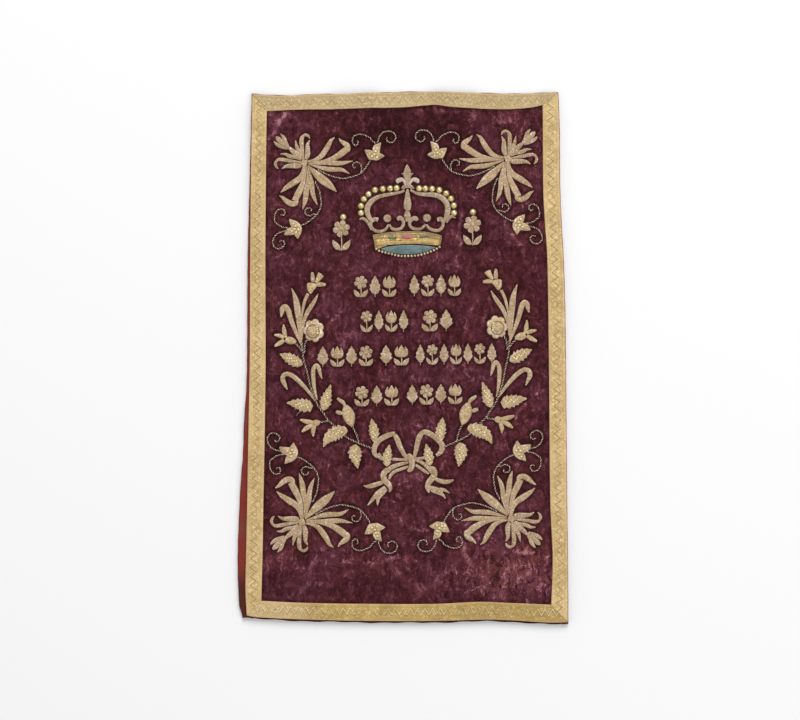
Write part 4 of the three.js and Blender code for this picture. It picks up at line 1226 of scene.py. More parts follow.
@dataclass
class Crown:
    """The crown: gold arches over a jewelled band, with a blue cap and a beaded rim."""

    def build(self, gold: bpy.types.Material, yellow: bpy.types.Material, blue: bpy.types.Material) -> GoldWork:
        """Builds the crown and makes its pieces.

        Args:
            gold: material of the thread.
            yellow: material of the band.
            blue: material of the cap.

        Returns:
            The gold frame, for the painted shade round the crown on the velvet.
        """
        work = GoldWork("crown_frame_gold")
        for rib in CROWN_RIBS + CROWN_SPIKE + FINIAL_BARBS:
            work.petal(rib, rise=2.0, yellow=-0.12)
        for curl in FINIAL_CURLS:
            work.petal(curl, rise=2.2, yellow=-0.55)
        for x, y, r in ((-23.5, 208.7, 6.1), (35.9, 209.3, 6.2), (6.0, 206, 3.0)):
            work.puff(oval(x, y, r, r, 12), (x, y), 2.2)
        work.piece(gold, "gold_thread", "crown_frame")
        band = GoldWork("crown_band_gold")
        band.puff(CROWN_BAND, (6.6, 177.5), 0.9, smoothing=6, steps=7, yellow=1.6)
        band.petal(((-39, 168.6, 1.6), (-30, 170, 2.3), (-14, 171.6, 2.6), (6, 172.8, 2.7), (24, 173, 2.6),
                    (38, 172.8, 2.3),
                    (46, 172.2, 1.4)), rise=1.3, lift=0.9)
        ends = np.linspace(-42, 54, 97)
        for phase in (0.0, math.pi):
            band.cord([(x, 180.6 + 0.0009 * (6 - x) * (x - 6) + 2.2 + 3.0 * math.sin(x * 0.86 + phase)) for x in ends],
                      0.8, 3.1, 0.9, yellow=0.3)
        for rim in (CROWN_BAND[:9], CROWN_BAND[8:11], CROWN_BAND[17:] + CROWN_BAND[:1]):
            band.cord(rim, 1.05, 3.4, 0.5)
        band.piece(yellow, "yellow_gold", "crown_band")
        cap = GoldWork("crown_cap_silk")
        cap.puff(CROWN_CAP, (7, 162), 1.1, smoothing=5, steps=6, rays=0.0)
        cap.piece(blue, "blue_satin", "crown_cap")
        work.shade_stations += band.shade_stations + cap.shade_stations
        return work

    def jewels(self) -> None:
        """Adds the band's three stones."""
        stones = (
            ("crown_stone_red", (0.27, 0.030, 0.040), (0.52, 0.13, 0.14), (7.3, 180.9), (9.2, 3.6)),
            ("crown_stone_green", (0.030, 0.060, 0.020), (0.12, 0.16, 0.065), (-15.9, 179.4), (6.6, 2.7)),
            ("crown_stone_dark", (0.045, 0.045, 0.030), (0.15, 0.12, 0.075), (31.7, 181.2), (7.6, 2.2)),
        )
        for name, tone, light, centre, size in stones:
            work = GoldWork(name)
            facets = [(centre[0] + size[0] * math.cos(a), centre[1] + size[1] * math.sin(a) * (1.0 if i % 2 else 0.7))
                      for i, a in enumerate(np.linspace(0, 2 * np.pi, 14, endpoint=False))]
            work.puff(facets, centre, 1.2, lift=1.0, rays=0.15)
            work.piece(SilkFinish(name + "_silk", tone, light, 0.45, 0.15).make(), "yellow_gold")


# ---------------------------------------------------------------- wreath and bow

WREATH_LEAVES: tuple[tuple[Station, ...], ...] = (
    ((-167.2, 104, 0.6), (-163.4, 94.6, 2.6), (-160, 83.3, 4.6), (-158.3, 72, 4.9), (-156.6, 58.4, 4.2),
     (-155.5, 43.6, 3.0),
     (-153.8, 28.9, 2.0), (-152, 15, 1.0)),
    ((-127.2, 95.6, 0.6), (-131.7, 86.7, 2.6), (-137.9, 76.5, 3.6), (-143.6, 67.4, 3.4), (-148.1, 56.1, 2.8),
     (-151.2, 41.4, 2.2), (-152, 26.6, 1.2)),
    ((-153.2, 19.8, 1.0), (-157.2, 28.9, 2.0), (-161.7, 40.2, 3.0), (-166.2, 51.6, 3.6), (-169.6, 61.8, 4.0),
     (-172.4, 70.8, 4.2),
     (-176.5, 76, 4.2), (-180.6, 74, 4.0), (-181.6, 67.6, 3.2), (-183, 60.5, 0.8)),
    ((-142.4, 96, 2.5), (-147, 85.6, 2.5), (-149.8, 74.2, 2.2), (-151.5, 62.9, 1.5), (-152.4, 45, 1.0)),
    ((-135.3, 113, 2.8), (-135.6, 120, 3.3), (-136.2, 128, 1.8)),
    ((-131, 112, 2.0), (-126.5, 118.5, 4.2), (-122.5, 125.4, 5.6)),
    ((-131, 108.6, 2.2), (-124, 109.6, 3.6), (-115.6, 109, 2.0)),
    ((-160.5, 22.4, 2.2), (-164.5, 24, 4.8), (-170, 25.6, 6.0), (-176.5, 27.5, 4.2)),
    ((-175.8, 30, 2.4), (-178.2, 39.5, 3.6), (-179.2, 49.8, 1.0)),
    ((-178, 29.6, 2.4), (-184.6, 32.4, 3.3), (-193, 34, 1.4)),
    ((-178, 26, 2.6), (-185, 21.6, 3.6), (-192.6, 17, 1.8)),
    ((-129, -68, 0.9), (-135.4, -59.4, 2.0), (-142.7, -50.1, 2.6), (-150.9, -40.8, 3.2), (-159.2, -32.6, 3.8),
     (-167.5, -26.6, 3.6), (-174, -24.6, 3.5), (-179.3, -27, 3.6), (-180.4, -33, 3.8), (-177.6, -39.8, 3.1),
     (-173.4, -48.4, 0.7)),
    ((-128.7, -63.6, 0.8), (-131.3, -54.3, 2.0), (-133.4, -43.9, 2.8), (-134.4, -33.6, 3.3), (-134.9, -23, 3.4),
     (-133.3, -14.8, 3.2), (-129.5, -11.8, 3.2), (-126.2, -17, 3.2), (-124.3, -24, 2.6), (-121.6, -32, 0.7)),
    ((-124.4, -97, 2.0), (-128.2, -97.7, 5.0), (-133, -98.6, 4.6)),
    ((-132, -97.6, 2.2), (-144, -96.2, 3.8), (-154.5, -93.2, 1.6)),
    ((-134, -100.4, 2.2), (-143.6, -105.2, 3.8), (-151.5, -111.4, 1.6)),
    ((-132, -101, 2.4), (-134.8, -110, 3.5), (-134.4, -118.6, 0.9)),
    ((-76, -103.5, 1.8), (-78.4, -97, 6.6), (-81, -88.5, 9.2), (-84, -79.5, 8.0), (-86.6, -71.5, 3.2)),
    ((-87, -72, 2.2), (-90.5, -67, 3.0), (-94.6, -64.2, 2.8), (-98.8, -61, 1.6)),
    ((-91, -84.2, 2.2), (-95.6, -82.8, 3.3), (-100.6, -81, 2.2)),
)
WREATH_TOOTHED: tuple[tuple[Station, ...], ...] = (
    ((-150.6, -11, 3.0), (-158, -7.6, 8.2), (-166, -3.6, 9.4), (-175, 1, 7.0), (-184.8, 5.2, 0.8)),
    ((-120, -79.5, 3.2), (-116.6, -68, 9.2), (-113, -55, 6.6), (-108.4, -40.6, 0.8)),
    ((-134.5, -72, 4.6), (-142, -72.6, 9.8), (-152, -71, 9.8), (-163, -69, 6.6), (-174.2, -68, 0.8)),
    ((-82.5, -109.6, 3.2), (-91.6, -110.4, 9.4), (-102, -114, 11.2), (-112, -121, 8.2), (-119.4, -133.8, 0.9)),
    ((-70.8, -130, 3.6), (-72, -140, 10.4), (-71.2, -150, 9.2), (-67.8, -166.4, 0.9)),
    ((-43, -127, 3.0), (-43.2, -114, 8.2), (-45, -103, 6.6), (-47.2, -92, 0.8)),
    ((-24, -163.5, 3.6), (-24, -152, 7.8), (-22.5, -142, 6.2), (-20.4, -130.6, 0.8)),
)
WREATH_CORDS: tuple[tuple[Point, ...], ...] = (
    ((-151.8, 22), (-150.4, 8.5), (-149.8, 0.5), (-147, -10.8), (-144.1, -21), (-141.4, -33), (-138.5, -45),
     (-133.4, -59.4), (-127.2, -72.9), (-117.9, -85.3), (-111.7, -94.6), (-104.4, -101), (-95, -111), (-84.8, -119.4),
     (-75.5, -124.5), (-66.2, -128.7), (-55, -133), (-44, -137)),
    ((-148.1, 6), (-147.6, 16), (-146.4, 22), (-143.4, 27)),
    ((-151.6, 10), (-156, 15.6), (-161, 20.8)),
    ((-112, -94.6), (-118, -96.4), (-124.6, -97)),
    ((-66.4, -128.4), (-68.3, -120.4), (-72.4, -110.1), (-76, -103.4)),
)
# The long blades, whose thread is veined, and the petals of its small flowers, which show yellow.
WREATH_BLADES = (0, 1)
WREATH_FLOWERS = (*range(5, 11), *range(13, 18))
LOOSE_END: tuple[Point, ...] = ((-150, -79.6), (-153.4, -81), (-157.6, -84), (-160, -88))
BOW: tuple[tuple[Station, ...], ...] = (
    ((6, -152, 2.4), (1.5, -145, 3.4), (-5, -133, 4.0), (-8.6, -123, 4.2), (-13, -115.4, 3.2)),
    ((-11.6, -113.6, 2.6), (-18, -115.2, 3.9), (-27, -118.6, 4.2), (-36, -124.6, 4.2), (-42, -133, 4.1),
     (-43, -142.6, 3.7),
     (-38, -150, 2.4)),
    ((-38, -144, 3.4), (-34, -149.6, 3.6), (-28.6, -153, 2.4)),
    ((-16, -152.4, 2.4), (-6, -153, 2.1), (7, -153.2, 2.0)),
    ((16.6, -150, 2.2), (18.8, -142, 3.2), (21.4, -130, 4.0), (24.6, -119, 4.3), (29, -112, 3.4)),
    ((25, -114.6, 2.8), (33, -111.8, 4.2), (43, -116, 4.4), (52.6, -123.4, 4.4), (58.6, -132, 4.3),
     (57.2, -140.4, 4.0), (50, -147.2, 2.6)),
    ((17, -151.4, 2.2), (25, -151.6, 2.2), (33.4, -150, 2.2)),
    ((8, -157.4, 2.0), (-4, -160, 2.7), (-16, -164.4, 3.6), (-24, -170, 4.0)),
    ((8.4, -163.6, 2.0), (-2, -167.2, 2.4), (-12.6, -171, 2.5), (-18, -176, 2.6), (-21, -182.6, 1.4)),
    ((-18, -167.6, 2.6), (-25, -169.4, 4.2), (-29.4, -176, 4.6), (-27.4, -184, 4.7), (-21.8, -190, 4.4),
     (-19, -196, 3.2), (-20.4, -202, 1.0)),
    ((-30, -187, 3.0), (-38, -189.6, 3.6), (-46, -192.2, 3.8), (-53, -193.6, 2.8), (-59.4, -192.2, 0.7)),
    ((-25.4, -195.4, 4.2), (-31, -200.6, 5.6), (-37, -206, 6.2), (-41.6, -211.6, 5.4)),
    ((-41.6, -207.6, 3.0), (-45.6, -213, 2.9), (-49.2, -217.4, 2.0), (-53, -222, 0.6)),
    ((-37.4, -208.6, 2.8), (-37.6, -214, 2.6), (-38, -218, 1.8), (-38.4, -222, 0.6)),
    ((18.4, -153.8, 2.0), (27, -157, 2.5), (34.6, -162.6, 2.7), (40, -169, 2.8), (42.6, -174, 1.6)),
    ((18.6, -161, 2.0), (26, -165.8, 2.4), (33, -171, 2.3), (38.6, -174.4, 1.2)),
    ((38.8, -165.2, 2.6), (45, -167.4, 4.2), (47.4, -174, 4.6), (43.4, -181.4, 4.7), (38.4, -188, 4.5),
     (37, -195.4, 4.0), (39, -203, 1.2)),
    ((48, -181.6, 2.6), (55, -185, 3.4), (64, -186.6, 3.6), (70.6, -185.6, 2.8), (75.8, -183.6, 0.9)),
    ((39.6, -195, 3.6), (47, -198.4, 5.0), (54, -201, 5.0), (59.6, -202.4, 3.6)),
    ((54, -197.4, 2.8), (60.4, -198.4, 2.7), (65.6, -200.6, 1.8), (69.6, -203.4, 0.6)),
    ((53, -203, 2.8), (58, -205, 2.5), (61.4, -208, 1.8), (63.6, -212, 0.6)),
)
BOW_KNOT: tuple[tuple[Station, ...], ...] = (
    ((7.4, -144.6, 2.6), (10.6, -149, 4.4), (13, -155, 5.0), (13.2, -162, 4.6), (10.8, -168, 4.0),
     (6.6, -170.6, 1.6)),
)


def across(point: Sequence[float]) -> tuple[float, ...]:
    """The same place on the right branch, which mirrors the left about a line that leans a little."""
    x = 2 * (4.3 - 0.021 * point[1]) - point[0]
    return (x, point[1] + 0.018 * (x - point[0]), *point[2:])


def as_it_is(point: Sequence[float]) -> tuple[float, ...]:
    """The place unchanged."""
    return tuple(point)


@dataclass
class WreathBranch:
    """One branch of the wreath, with its leaves, rose and lilies."""

    node: str
    move: Callable[[Sequence[float]], tuple[float, ...]]

    def rose(self, work: GoldWork) -> None:
        """Adds the rose: lobed petals round a domed heart in a corded ring."""
        x, y = -133.9, 40.5
        lobes = []
        for a in np.linspace(0, 2 * np.pi, 35, endpoint=False):
            r = 13.6 + 2.6 * abs(math.sin(3.5 * a)) ** 0.6
            lobes.append(self.move((x + r * math.cos(a), y + 1.1 * r * math.sin(a))))
        centre = self.move((x, y))
        work.puff(lobes, centre, 1.7, smoothing=3, steps=6, yellow=0.6)
        loop = [self.move(p) for p in oval(x - 1, y - 1, 9.4, 9.8, 15)]
        work.cord(loop + loop[:1], 0.95, 3.0, 1.4, 2.6, 1.0)
        heart = [self.move(p) for p in oval(x - 1.5, y - 1, 7.2, 7.2, 12)]
        work.puff(heart, self.move((x - 1.5, y - 1)), 2.0, lift=0.9, yellow=1.0)
        work.spots += [(*self.move((x + 4.6 + 0.4 * i, y + 6 - 3.2 * i)), 2.7) for i in range(4)]

    def build(self, gold: bpy.types.Material) -> GoldWork:
        """Builds the branch and makes its piece.

        Args:
            gold: the thread's material.

        Returns:
            The gold work, for the painted shade round it on the velvet, and for its spangles.
        """
        work = GoldWork(self.node + "_gold")
        for path in WREATH_CORDS:
            work.cord([self.move(p) for p in path], 1.5, 8.6, dark=2.8, pale=0.9)
        if self.node == "wreath_left":
            work.cord(LOOSE_END, 0.7, 5.0, dark=2.0)
        for i, leaf in enumerate(WREATH_LEAVES):
            thread = Thread.VEINED if i in WREATH_BLADES else Thread.ACROSS
            yellow = 0.7 if i in WREATH_FLOWERS else 0.2
            work.petal([self.move(p) for p in leaf], thread, lift=0.12 * (i % 2), yellow=yellow)
        for leaf in WREATH_TOOTHED:
            wider = [(x, y, w * 1.12) for x, y, w in leaf]
            work.petal([self.move(p) for p in wider], Thread.VEINED, 2.2, teeth=0.36, spangled=True, yellow=0.55)
        cup = ((-144.4, 106), (-144, 111), (-139.6, 112.6), (-135, 112.4), (-131.6, 111.4), (-129.4, 106.6),
               (-133.4, 101),
               (-138, 95.2), (-142.6, 98.6))
        work.puff([self.move(p) for p in cup], self.move((-138, 104.6)), 2.2, yellow=1.0)
        self.rose(work)
        work.piece(gold, "gold_thread", self.node)
        return work


@dataclass
class Bow:
    """The ribbon bow that ties the branches."""

    def build(self, gold: bpy.types.Material) -> GoldWork:
        """Builds the bow and makes its piece."""
        work = GoldWork("bow_gold")
        for i, ribbon in enumerate(BOW):
            work.petal(ribbon, rise=1.5, lift=0.15 * (i % 2))
        for knot in BOW_KNOT:
            work.petal(knot, rise=2.6, lift=0.4)
        work.piece(gold, "gold_thread", "bow")
        return work


# ---------------------------------------------------------------- rows of small motifs


class Motif(Enum):
    """The small flowers that make up the rows."""

    ROSETTE = "six petals round a button, on a leafy stem"
    LEAF = "a toothed leaf standing up"
    BUD = "a closed bud on a leafy stem"


@dataclass(frozen=True)
class MotifRow:
    """A row of small upright flowers in one or more groups."""

    name: str
    low: float
    height: float
    slope: float
    groups: tuple[tuple[float, float, int], ...]
    first: int = 0

    def stem(self, work: GoldWork, x: float, y: float, w: float, top: float) -> None:
        """Adds a stem with a leaf on each side of its foot."""
        h = self.height
        work.petal(((x, y, 0.7), (x + 0.05 * w, y + 0.25 * h, 1.0), (x, y + top * h, 0.9)), rise=1.1)
        for side in (-1, 1):
            work.petal(((x + 0.1 * w * side, y + 0.03 * h, 0.9), (x + 0.42 * w * side, y + 0.11 * h, 0.32 * w),
                        (x + 0.76 * w * side, y + 0.23 * h, 0.28 * w),
                        (x + 1.0 * w * side, y + 0.36 * h, 0.35)), rise=1.2)

    def rosette(self, work: GoldWork, x: float, y: float, w: float) -> None:
        """Adds a rosette of six petals round a yellow button."""
        r = min(0.98 * w, 0.33 * self.height)
        y += self.height - r
        for turn in np.linspace(0, 2 * np.pi, 6, endpoint=False) + 0.26:
            c, s = math.cos(turn), math.sin(turn)
            work.petal([(x + a * r * c, y + a * r * s, b * r) for a, b in
                        ((0.12, 0.1), (0.42, 0.24), (0.7, 0.36), (0.9, 0.28), (1.0, 0.1))], rise=1.3)
        work.puff(oval(x, y, 0.3 * r, 0.3 * r, 10), (x, y), 1.5, lift=0.9, yellow=1.0)

    def draw(self, work: GoldWork, kind: Motif, x: float, y: float, wide: float) -> None:
        """Adds one flower or leaf.

        Args:
            work: where it goes.
            kind: which it is.
            x: its middle.
            y: its foot.
            wide: its width.
        """
        h, w = self.height, wide / 2
        if kind is Motif.LEAF:
            work.petal(((x, y, 0.7), (x, y + 0.12 * h, 1.0), (x, y + 0.22 * h, 0.62 * w), (x, y + 0.44 * h, 0.92 * w),
                        (x, y + 0.72 * h, 0.60 * w), (x, y + h, 0.4)), Thread.VEINED, 1.6, teeth=0.3)
            return
        self.stem(work, x, y, w, 0.5)
        if kind is Motif.ROSETTE:
            self.rosette(work, x, y, w)
            return
        for side in (-1, 1):
            work.petal(((x + 0.1 * w * side, y + 0.42 * h, 0.8), (x + 0.48 * w * side, y + 0.53 * h, 0.32 * w),
                        (x + 0.64 * w * side, y + 0.70 * h, 0.28 * w),
                        (x + 0.52 * w * side, y + 0.93 * h, 0.35)), rise=1.2)
        work.petal(((x, y + 0.42 * h, 0.8), (x, y + 0.56 * h, 0.42 * w), (x, y + 0.74 * h, 0.46 * w), (x, y + h, 0.4)),
                   rise=1.7, lift=0.2, yellow=0.3)

    def build(self, gold: bpy.types.Material) -> GoldWork:
        """Builds the row and makes its piece.

        Args:
            gold: the thread's material.

        Returns:
            The gold work, for the painted shade round it on the velvet.
        """
        work = GoldWork(self.name)
        order = (Motif.ROSETTE, Motif.LEAF, Motif.BUD, Motif.LEAF)
        place = self.first
        for start, end, count in self.groups:
            pitch = (end - start) / count
            for i in range(count):
                x = start + pitch * (i + 0.5)
                self.draw(work, order[place % 4], x, self.low + self.slope * x, min(pitch * 0.97, 27.0))
                place += 1
        work.piece(gold, "gold_thread")
        return work


MOTIF_ROWS = (
    MotifRow("motif_row_first", 91, 32.5, 0.014, ((-74, -10, 3), (7, 87, 4))),
    MotifRow("motif_row_second", 38.5, 32.5, 0.014, ((-64, 10, 4), (28, 77, 2))),
    MotifRow("motif_row_third", -12, 31, 0.020, ((-131, -45, 4), (-37, 9, 2), (17, 142, 7)), 1),
    MotifRow("motif_row_fourth", -72, 31, 0.024, ((-73, -6, 3), (3, 89, 4))),
    MotifRow("motif_beside_left", 160, 46, 0.0, ((-106, -79, 1),)),
    MotifRow("motif_beside_right", 168, 45, 0.0, ((90, 118, 1),)),
)


# ---------------------------------------------------------------- cloths


@dataclass
class BackCloth:
    """The back cloth, its sides rolled round and in under the front."""

    rows: int = 170
    shows_right: float = 1.2
    shows_top: float = 0.8
    shows_hem: float = 3.6

    def section(self, level: Array, w: float) -> tuple[Array, Array]:
        """The cloth's section at each level.

        Args:
            level: places up the mantle.
            w: 0 for the outer side of the cloth and 1 for its inner side.

        Returns:
            x and z, levels by stations.
        """
        thick = FORM.back_thick
        height = (FORM.roll_height(level) + 0.22 * np.sin(level / 9.0) * smooth(350, 330, level))[:, None]
        radius = (height - thick) / 2
        pucker = 0.25 * np.sin(level / 5.3 + 1.1 * np.sin(level / 23.0))[:, None]
        left = FORM.fold_left(level)[:, None] + pucker * 0.6 + radius + thick / 2
        right = FORM.right(level)[:, None] + self.shows_right + pucker * 0.4 - radius - thick / 2
        offset = (w - 0.5) * thick
        arc = np.linspace(0, 1, 13)[None]
        lift = height - thick / 2 - offset
        r = radius - offset

        def bend(centre: Array, angle: Array) -> tuple[Array, Array]:
            """Half a turn about a centre line."""
            return centre + np.cos(angle) * r, height / 2 + np.sin(angle) * r

        lx, lz = bend(left, np.pi * (0.5 + arc))
        rx, rz = bend(right, np.pi * (-0.5 + arc))
        share = np.linspace(0, 1, 5)[None, :-1]
        fx = blend(FORM.left(level)[:, None] + FORM.flange, left, share)
        gx = blend(right, FORM.right(level)[:, None] - FORM.flange, np.linspace(0, 1, 5)[None, 1:])
        flat = np.linspace(0, 1, 70)[None, 1:-1]
        mx = blend(left, right, flat)
        x = np.hstack([fx, lx, mx, rx, gx])
        z = np.hstack([np.broadcast_to(lift, fx.shape), lz, np.full_like(mx, thick / 2 + offset), rz,
                       np.broadcast_to(lift, gx.shape)])
        return x, z

    def build(self, finish: bpy.types.Material) -> bpy.types.Object:
        """Builds the cloth and makes its piece."""
        v = np.linspace(0, 1, self.rows)
        level = blend(-396.0, 397.0, v)
        grids = []
        for w in (1.0, 0.0):
            x, z = self.section(level, w)
            fray = 0.5 * np.sin(x / 6.3) + 0.4 * np.sin(x / 17 + 1)
            y = blend(FORM.hem(x) - self.shows_hem + fray, FORM.top(x) + self.shows_top + 0.6 * fray, v[:, None])
            grids.append(np.stack([x, y, z], -1))
        shells = Shells()
        shells.add(*slab(*grids))
        piece = finished(shells.piece("back_cloth", finish, "back_panel", "weave"), "back_cloth", "back_panel")
        return piece


# Broad places where the pile is worn pale, or is fresh and dark where the height is below 0.
WEAR = creases(
    ((-190, 335), (-180, 352), 0.42, 34), ((185, 345), (200, 345), 0.45, 32),
    ((200, 305), (200, 290), 0.35, 24), ((-70, 352), (40, 350), -1.15, 46),
    ((0, 312), (30, 300), -0.6, 38), ((-20, -176), (30, -172), 0.5, 30),
    ((160, -340), (215, -325), 1.1, 36), ((90, -338), (120, -330), 0.6, 32),
    ((-185, -295), (-120, -300), 0.25, 34), ((60, -256), (170, -260), 0.3, 30),
    ((-150, 70), (-100, 30), 0.25, 30), ((150, -330), (190, -300), 0.4, 20),
    ((30, -135), (40, -130), 0.4, 24), ((100, 240), (100, 150), -0.5, 30), ((-60, -290), (40, -300), 0.1, 30),
)


@dataclass
class VelvetFront:
    """The velvet front panel."""

    border: int = 8
    columns: int = 150
    rows: int = 258
    bottom: float = -394.0
    top: float = 397.0
    # How dark the painted shade is at the edge of the gold work, and over how many millimetres it fades.
    edge_shade: float = 1.25
    fades: float = 3.9

    def stations(self, count: int, share: float) -> Array:
        """Places across the panel, closer together between the braids.

        Args:
            count: how many there are between the braids.
            share: the braid's share of the panel's width.

        Returns:
            Numbers from 0 to 1.
        """
        low = np.linspace(0, share, self.border, endpoint=False)
        return np.concatenate([low, np.linspace(share, 1 - share, count), 1 - low[::-1]])

    def build(self, finish: bpy.types.Material, shade_stations: Sequence[Station]) -> bpy.types.Object:
        """Builds the panel and makes its piece.

        Args:
            finish: the velvet.
            shade_stations: (x, y, half width) of the gold work, the bosses and the braids' inner edges, round which
                the velvet is painted with shade.

        Returns:
            The piece.
        """
        v = self.stations(self.rows, 0.03)[:, None]
        u = self.stations(self.columns, 0.045)[None]
        level = blend(self.bottom, self.top, v)
        x = blend(FORM.left(level), FORM.right(level), u)
        y = blend(FORM.hem(x), FORM.top(x), v)
        low = FORM.under(x, y)
        ripple = 0.16 * np.sin(x / 6.1 + 2.1 * np.sin(y / 23)) * np.sin(y / 7.7 + 1.7 * np.sin(x / 19))
        edge = np.minimum(np.minimum(u, 1 - u) * 160, np.minimum(v, 1 - v) * 270)
        thick = FORM.front_thick * (0.62 + 0.38 * smooth(0, 2.2, edge))
        shells = Shells()
        shells.add(*slab(np.stack([x, y, low + thick + ripple], -1), np.stack([x, y, low], -1)))
        piece = shells.piece("velvet_front", finish, "front_panel", "weave")
        tree = KDTree(len(shade_stations))
        for i, (px, py, _) in enumerate(shade_stations):
            tree.insert((px, py, 0), i)
        tree.balance()
        # Painted shade on the velvet, darkest at the edge of the gold work.
        shade = []
        for px, py in zip(x.ravel(), y.ravel()):
            near = tree.find_n((px, py, 0), 4)
            shade.append(max((self.edge_shade - (d - shade_stations[i][2]) / self.fades for _, i, d in near), default=0))
        bent_x = x + 2.6 * np.sin(y / 7.1) + 1.7 * np.sin(y / 17)
        bent_y = y + 2.6 * np.sin(x / 8.3) + 1.7 * np.sin(x / 19)
        # Painted highlight along the crushed creases, where the pile catches the light, and painted shade along the
        # trough.
        crease = sum(0.8 * c.reach(bent_x, bent_y) ** 3 for c in CREASES if c.height > 0).ravel()
        crease -= sum(c.reach(bent_x, bent_y) for c in CREASES if c.height < 0).ravel()
        worn = sum(c.height * c.reach(x, y) for c in WEAR).ravel()
        for name, values in (("shade", np.clip(shade, 0, 1)), ("crease", np.clip(crease, -1, 1)), ("worn", worn)):
            store = piece.data.attributes.new(name, "FLOAT", "POINT")
            store.data.foreach_set("value", np.concatenate([values, values]).astype(np.float32))
        finished(piece, "velvet", "front_panel")
        return piece


class Run(Enum):
    """Which way a strip of braid runs."""

    UP = "up a side"
    ACROSS = "along the top or hem"


@dataclass(frozen=True)
class Braid:
    """A mitred strip of braid sewn round the front."""

    node: str
    run: Run
    low: Edge
    high: Edge
    start: tuple[Point, Point]
    end: tuple[Point, Point]
    steps: int
    gap: float = 0.25
    rib: float = 5.2
    weave: float = 24.5

    def build(self, finish: bpy.types.Material) -> bpy.types.Object:
        """Builds the strip and makes its piece."""
        t = np.linspace(0, 1, self.steps)
        s = np.concatenate([[0, 0.02, 0.06], np.linspace(0.12, 0.88, 11), [0.94, 0.98, 1]])
        i = 1 if self.run is Run.UP else 0
        rails = []
        for rail, edge in enumerate((self.low, self.high)):
            place = blend(self.start[rail][i] + self.gap, self.end[rail][i] - self.gap, t)
            rails.append(np.stack([edge(place), place] if i else [place, edge(place)], -1))
        grid = rails[0][:, None] + (rails[1] - rails[0])[:, None] * s[None, :, None]
        if self.run is Run.ACROSS:
            grid = grid.transpose(1, 0, 2)
        x, y = grid[..., 0], grid[..., 1]
        reach = ((0, 0), (3.5, 0), (-3.5, 0), (0, 3.5), (0, -3.5))
        rest = np.maximum.reduce([FORM.face(x + a, y + b) for a, b in reach]) + 0.1
        side = np.abs(s - 0.5) * 2
        crown = 1.15 * (1 - side**14) ** 0.5 - 0.12 * np.exp(-(((side - 0.66) / 0.05) ** 2))
        crown = crown[None] if self.run is Run.UP else crown[:, None]
        along = (y if self.run is Run.UP else x) - 0.4 * np.sin(x / 17 + y / 13)
        ribs = 0.05 * np.sin(along * 2 * np.pi / self.rib)
        over = np.broadcast_to(s if self.run is Run.UP else s[:, None], x.shape) - 0.5
        shells = Shells()
        uv = np.stack([along, over * self.weave], -1).reshape(-1, 2)
        points, faces = slab(np.stack([x, y, rest + 0.1 + crown + ribs], -1), np.stack([x, y, rest], -1))
        shells.add(points, faces, np.vstack([uv, uv]))
        piece = finished(shells.piece(self.node + "_woven", finish, self.node, "weave"), "gold_braid", self.node)
        return piece


HEM_LEFT = ((-234.5, -387.3), (-212.6, -364.8))
HEM_RIGHT = ((247.2, -397.2), (222.2, -370.8))
TOP_LEFT = ((-226.3, 395.4), (-204.2, 369.6))
TOP_RIGHT = ((232.4, 397.8), (209.4, 379))


def braids() -> tuple[Braid, ...]:
    """The four strips, each from its outer to its inner edge in the order that keeps its face up."""
    return (
        Braid("braid_left", Run.UP, FORM.left, FORM.braid_left, HEM_LEFT, TOP_LEFT, 330),
        Braid("braid_right", Run.UP, FORM.braid_right, FORM.right, HEM_RIGHT[::-1], TOP_RIGHT[::-1], 330),
        Braid("braid_top", Run.ACROSS, FORM.braid_top, FORM.top, TOP_LEFT[::-1], TOP_RIGHT[::-1], 200),
        Braid("braid_hem", Run.ACROSS, FORM.hem, FORM.braid_hem, HEM_LEFT, HEM_RIGHT, 200),
    )


# ---------------------------------------------------------------- stage


@dataclass(frozen=True)
class Studio:
    """A pale floor, soft light and a camera that looks straight down."""

    above: float = 2.8303
    lens: float = 85.0
    film: float = 36.0
    aside: tuple[float, float] = (-0.00465, -0.00374)
    floor_side: float = 12.0
    floor_drop: float = 0.0002
    floor_tone: float = 0.812
    sky: float = 0.60

    def floor(self) -> None:
        """Adds the floor."""
        emptied()
        bpy.ops.mesh.primitive_plane_add(size=self.floor_side, location=(0, 0, -self.floor_drop))
        floor = bpy.context.object
        floor.name = "floor"
        g = Graph("pale_floor")
        floor.data.materials.append(g.finish(Base_Color=(self.floor_tone,) * 3, Roughness=0.9))
        floor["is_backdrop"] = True

    def lights(self) -> None:
        """Adds the sky and two soft lamps."""
        world = bpy.data.worlds.new("studio")
        world.use_nodes = True
        sky = world.node_tree.nodes["Background"].inputs
        sky["Color"].default_value = (1, 1, 1, 1)
        sky["Strength"].default_value = self.sky
        bpy.context.scene.world = world
        for name, place, size, power in (("key", (0.5, 4.8, 5.0), 3.5, 318.0), ("fill", (3.6, -1.6, 4.7), 4.3, 87.0)):
            data = bpy.data.lights.new(name, "AREA")
            data.size, data.energy = size, power
            lamp = linked(name, data)
            lamp.location = place
            lamp.rotation_mode = "QUATERNION"
            lamp.rotation_quaternion = (-Vector(place)).to_track_quat("-Z", "Y")

    def camera(self) -> None:
        """Adds the camera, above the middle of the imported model."""
        low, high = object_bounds()
        data = bpy.data.cameras.new("camera")
        data.lens = self.lens
        data.sensor_width = self.film
        camera = linked("camera", data)
        middle = [(a + b) / 2 + c for a, b, c in zip(low, high, self.aside)]
        camera.location = (*middle, high[2] + self.above)
        bpy.context.scene.camera = camera

    def build(self) -> None:
        """Sets up the studio."""
        self.camera()
        self.floor()
        self.lights()
        bpy.context.scene.view_settings.view_transform = "Standard"


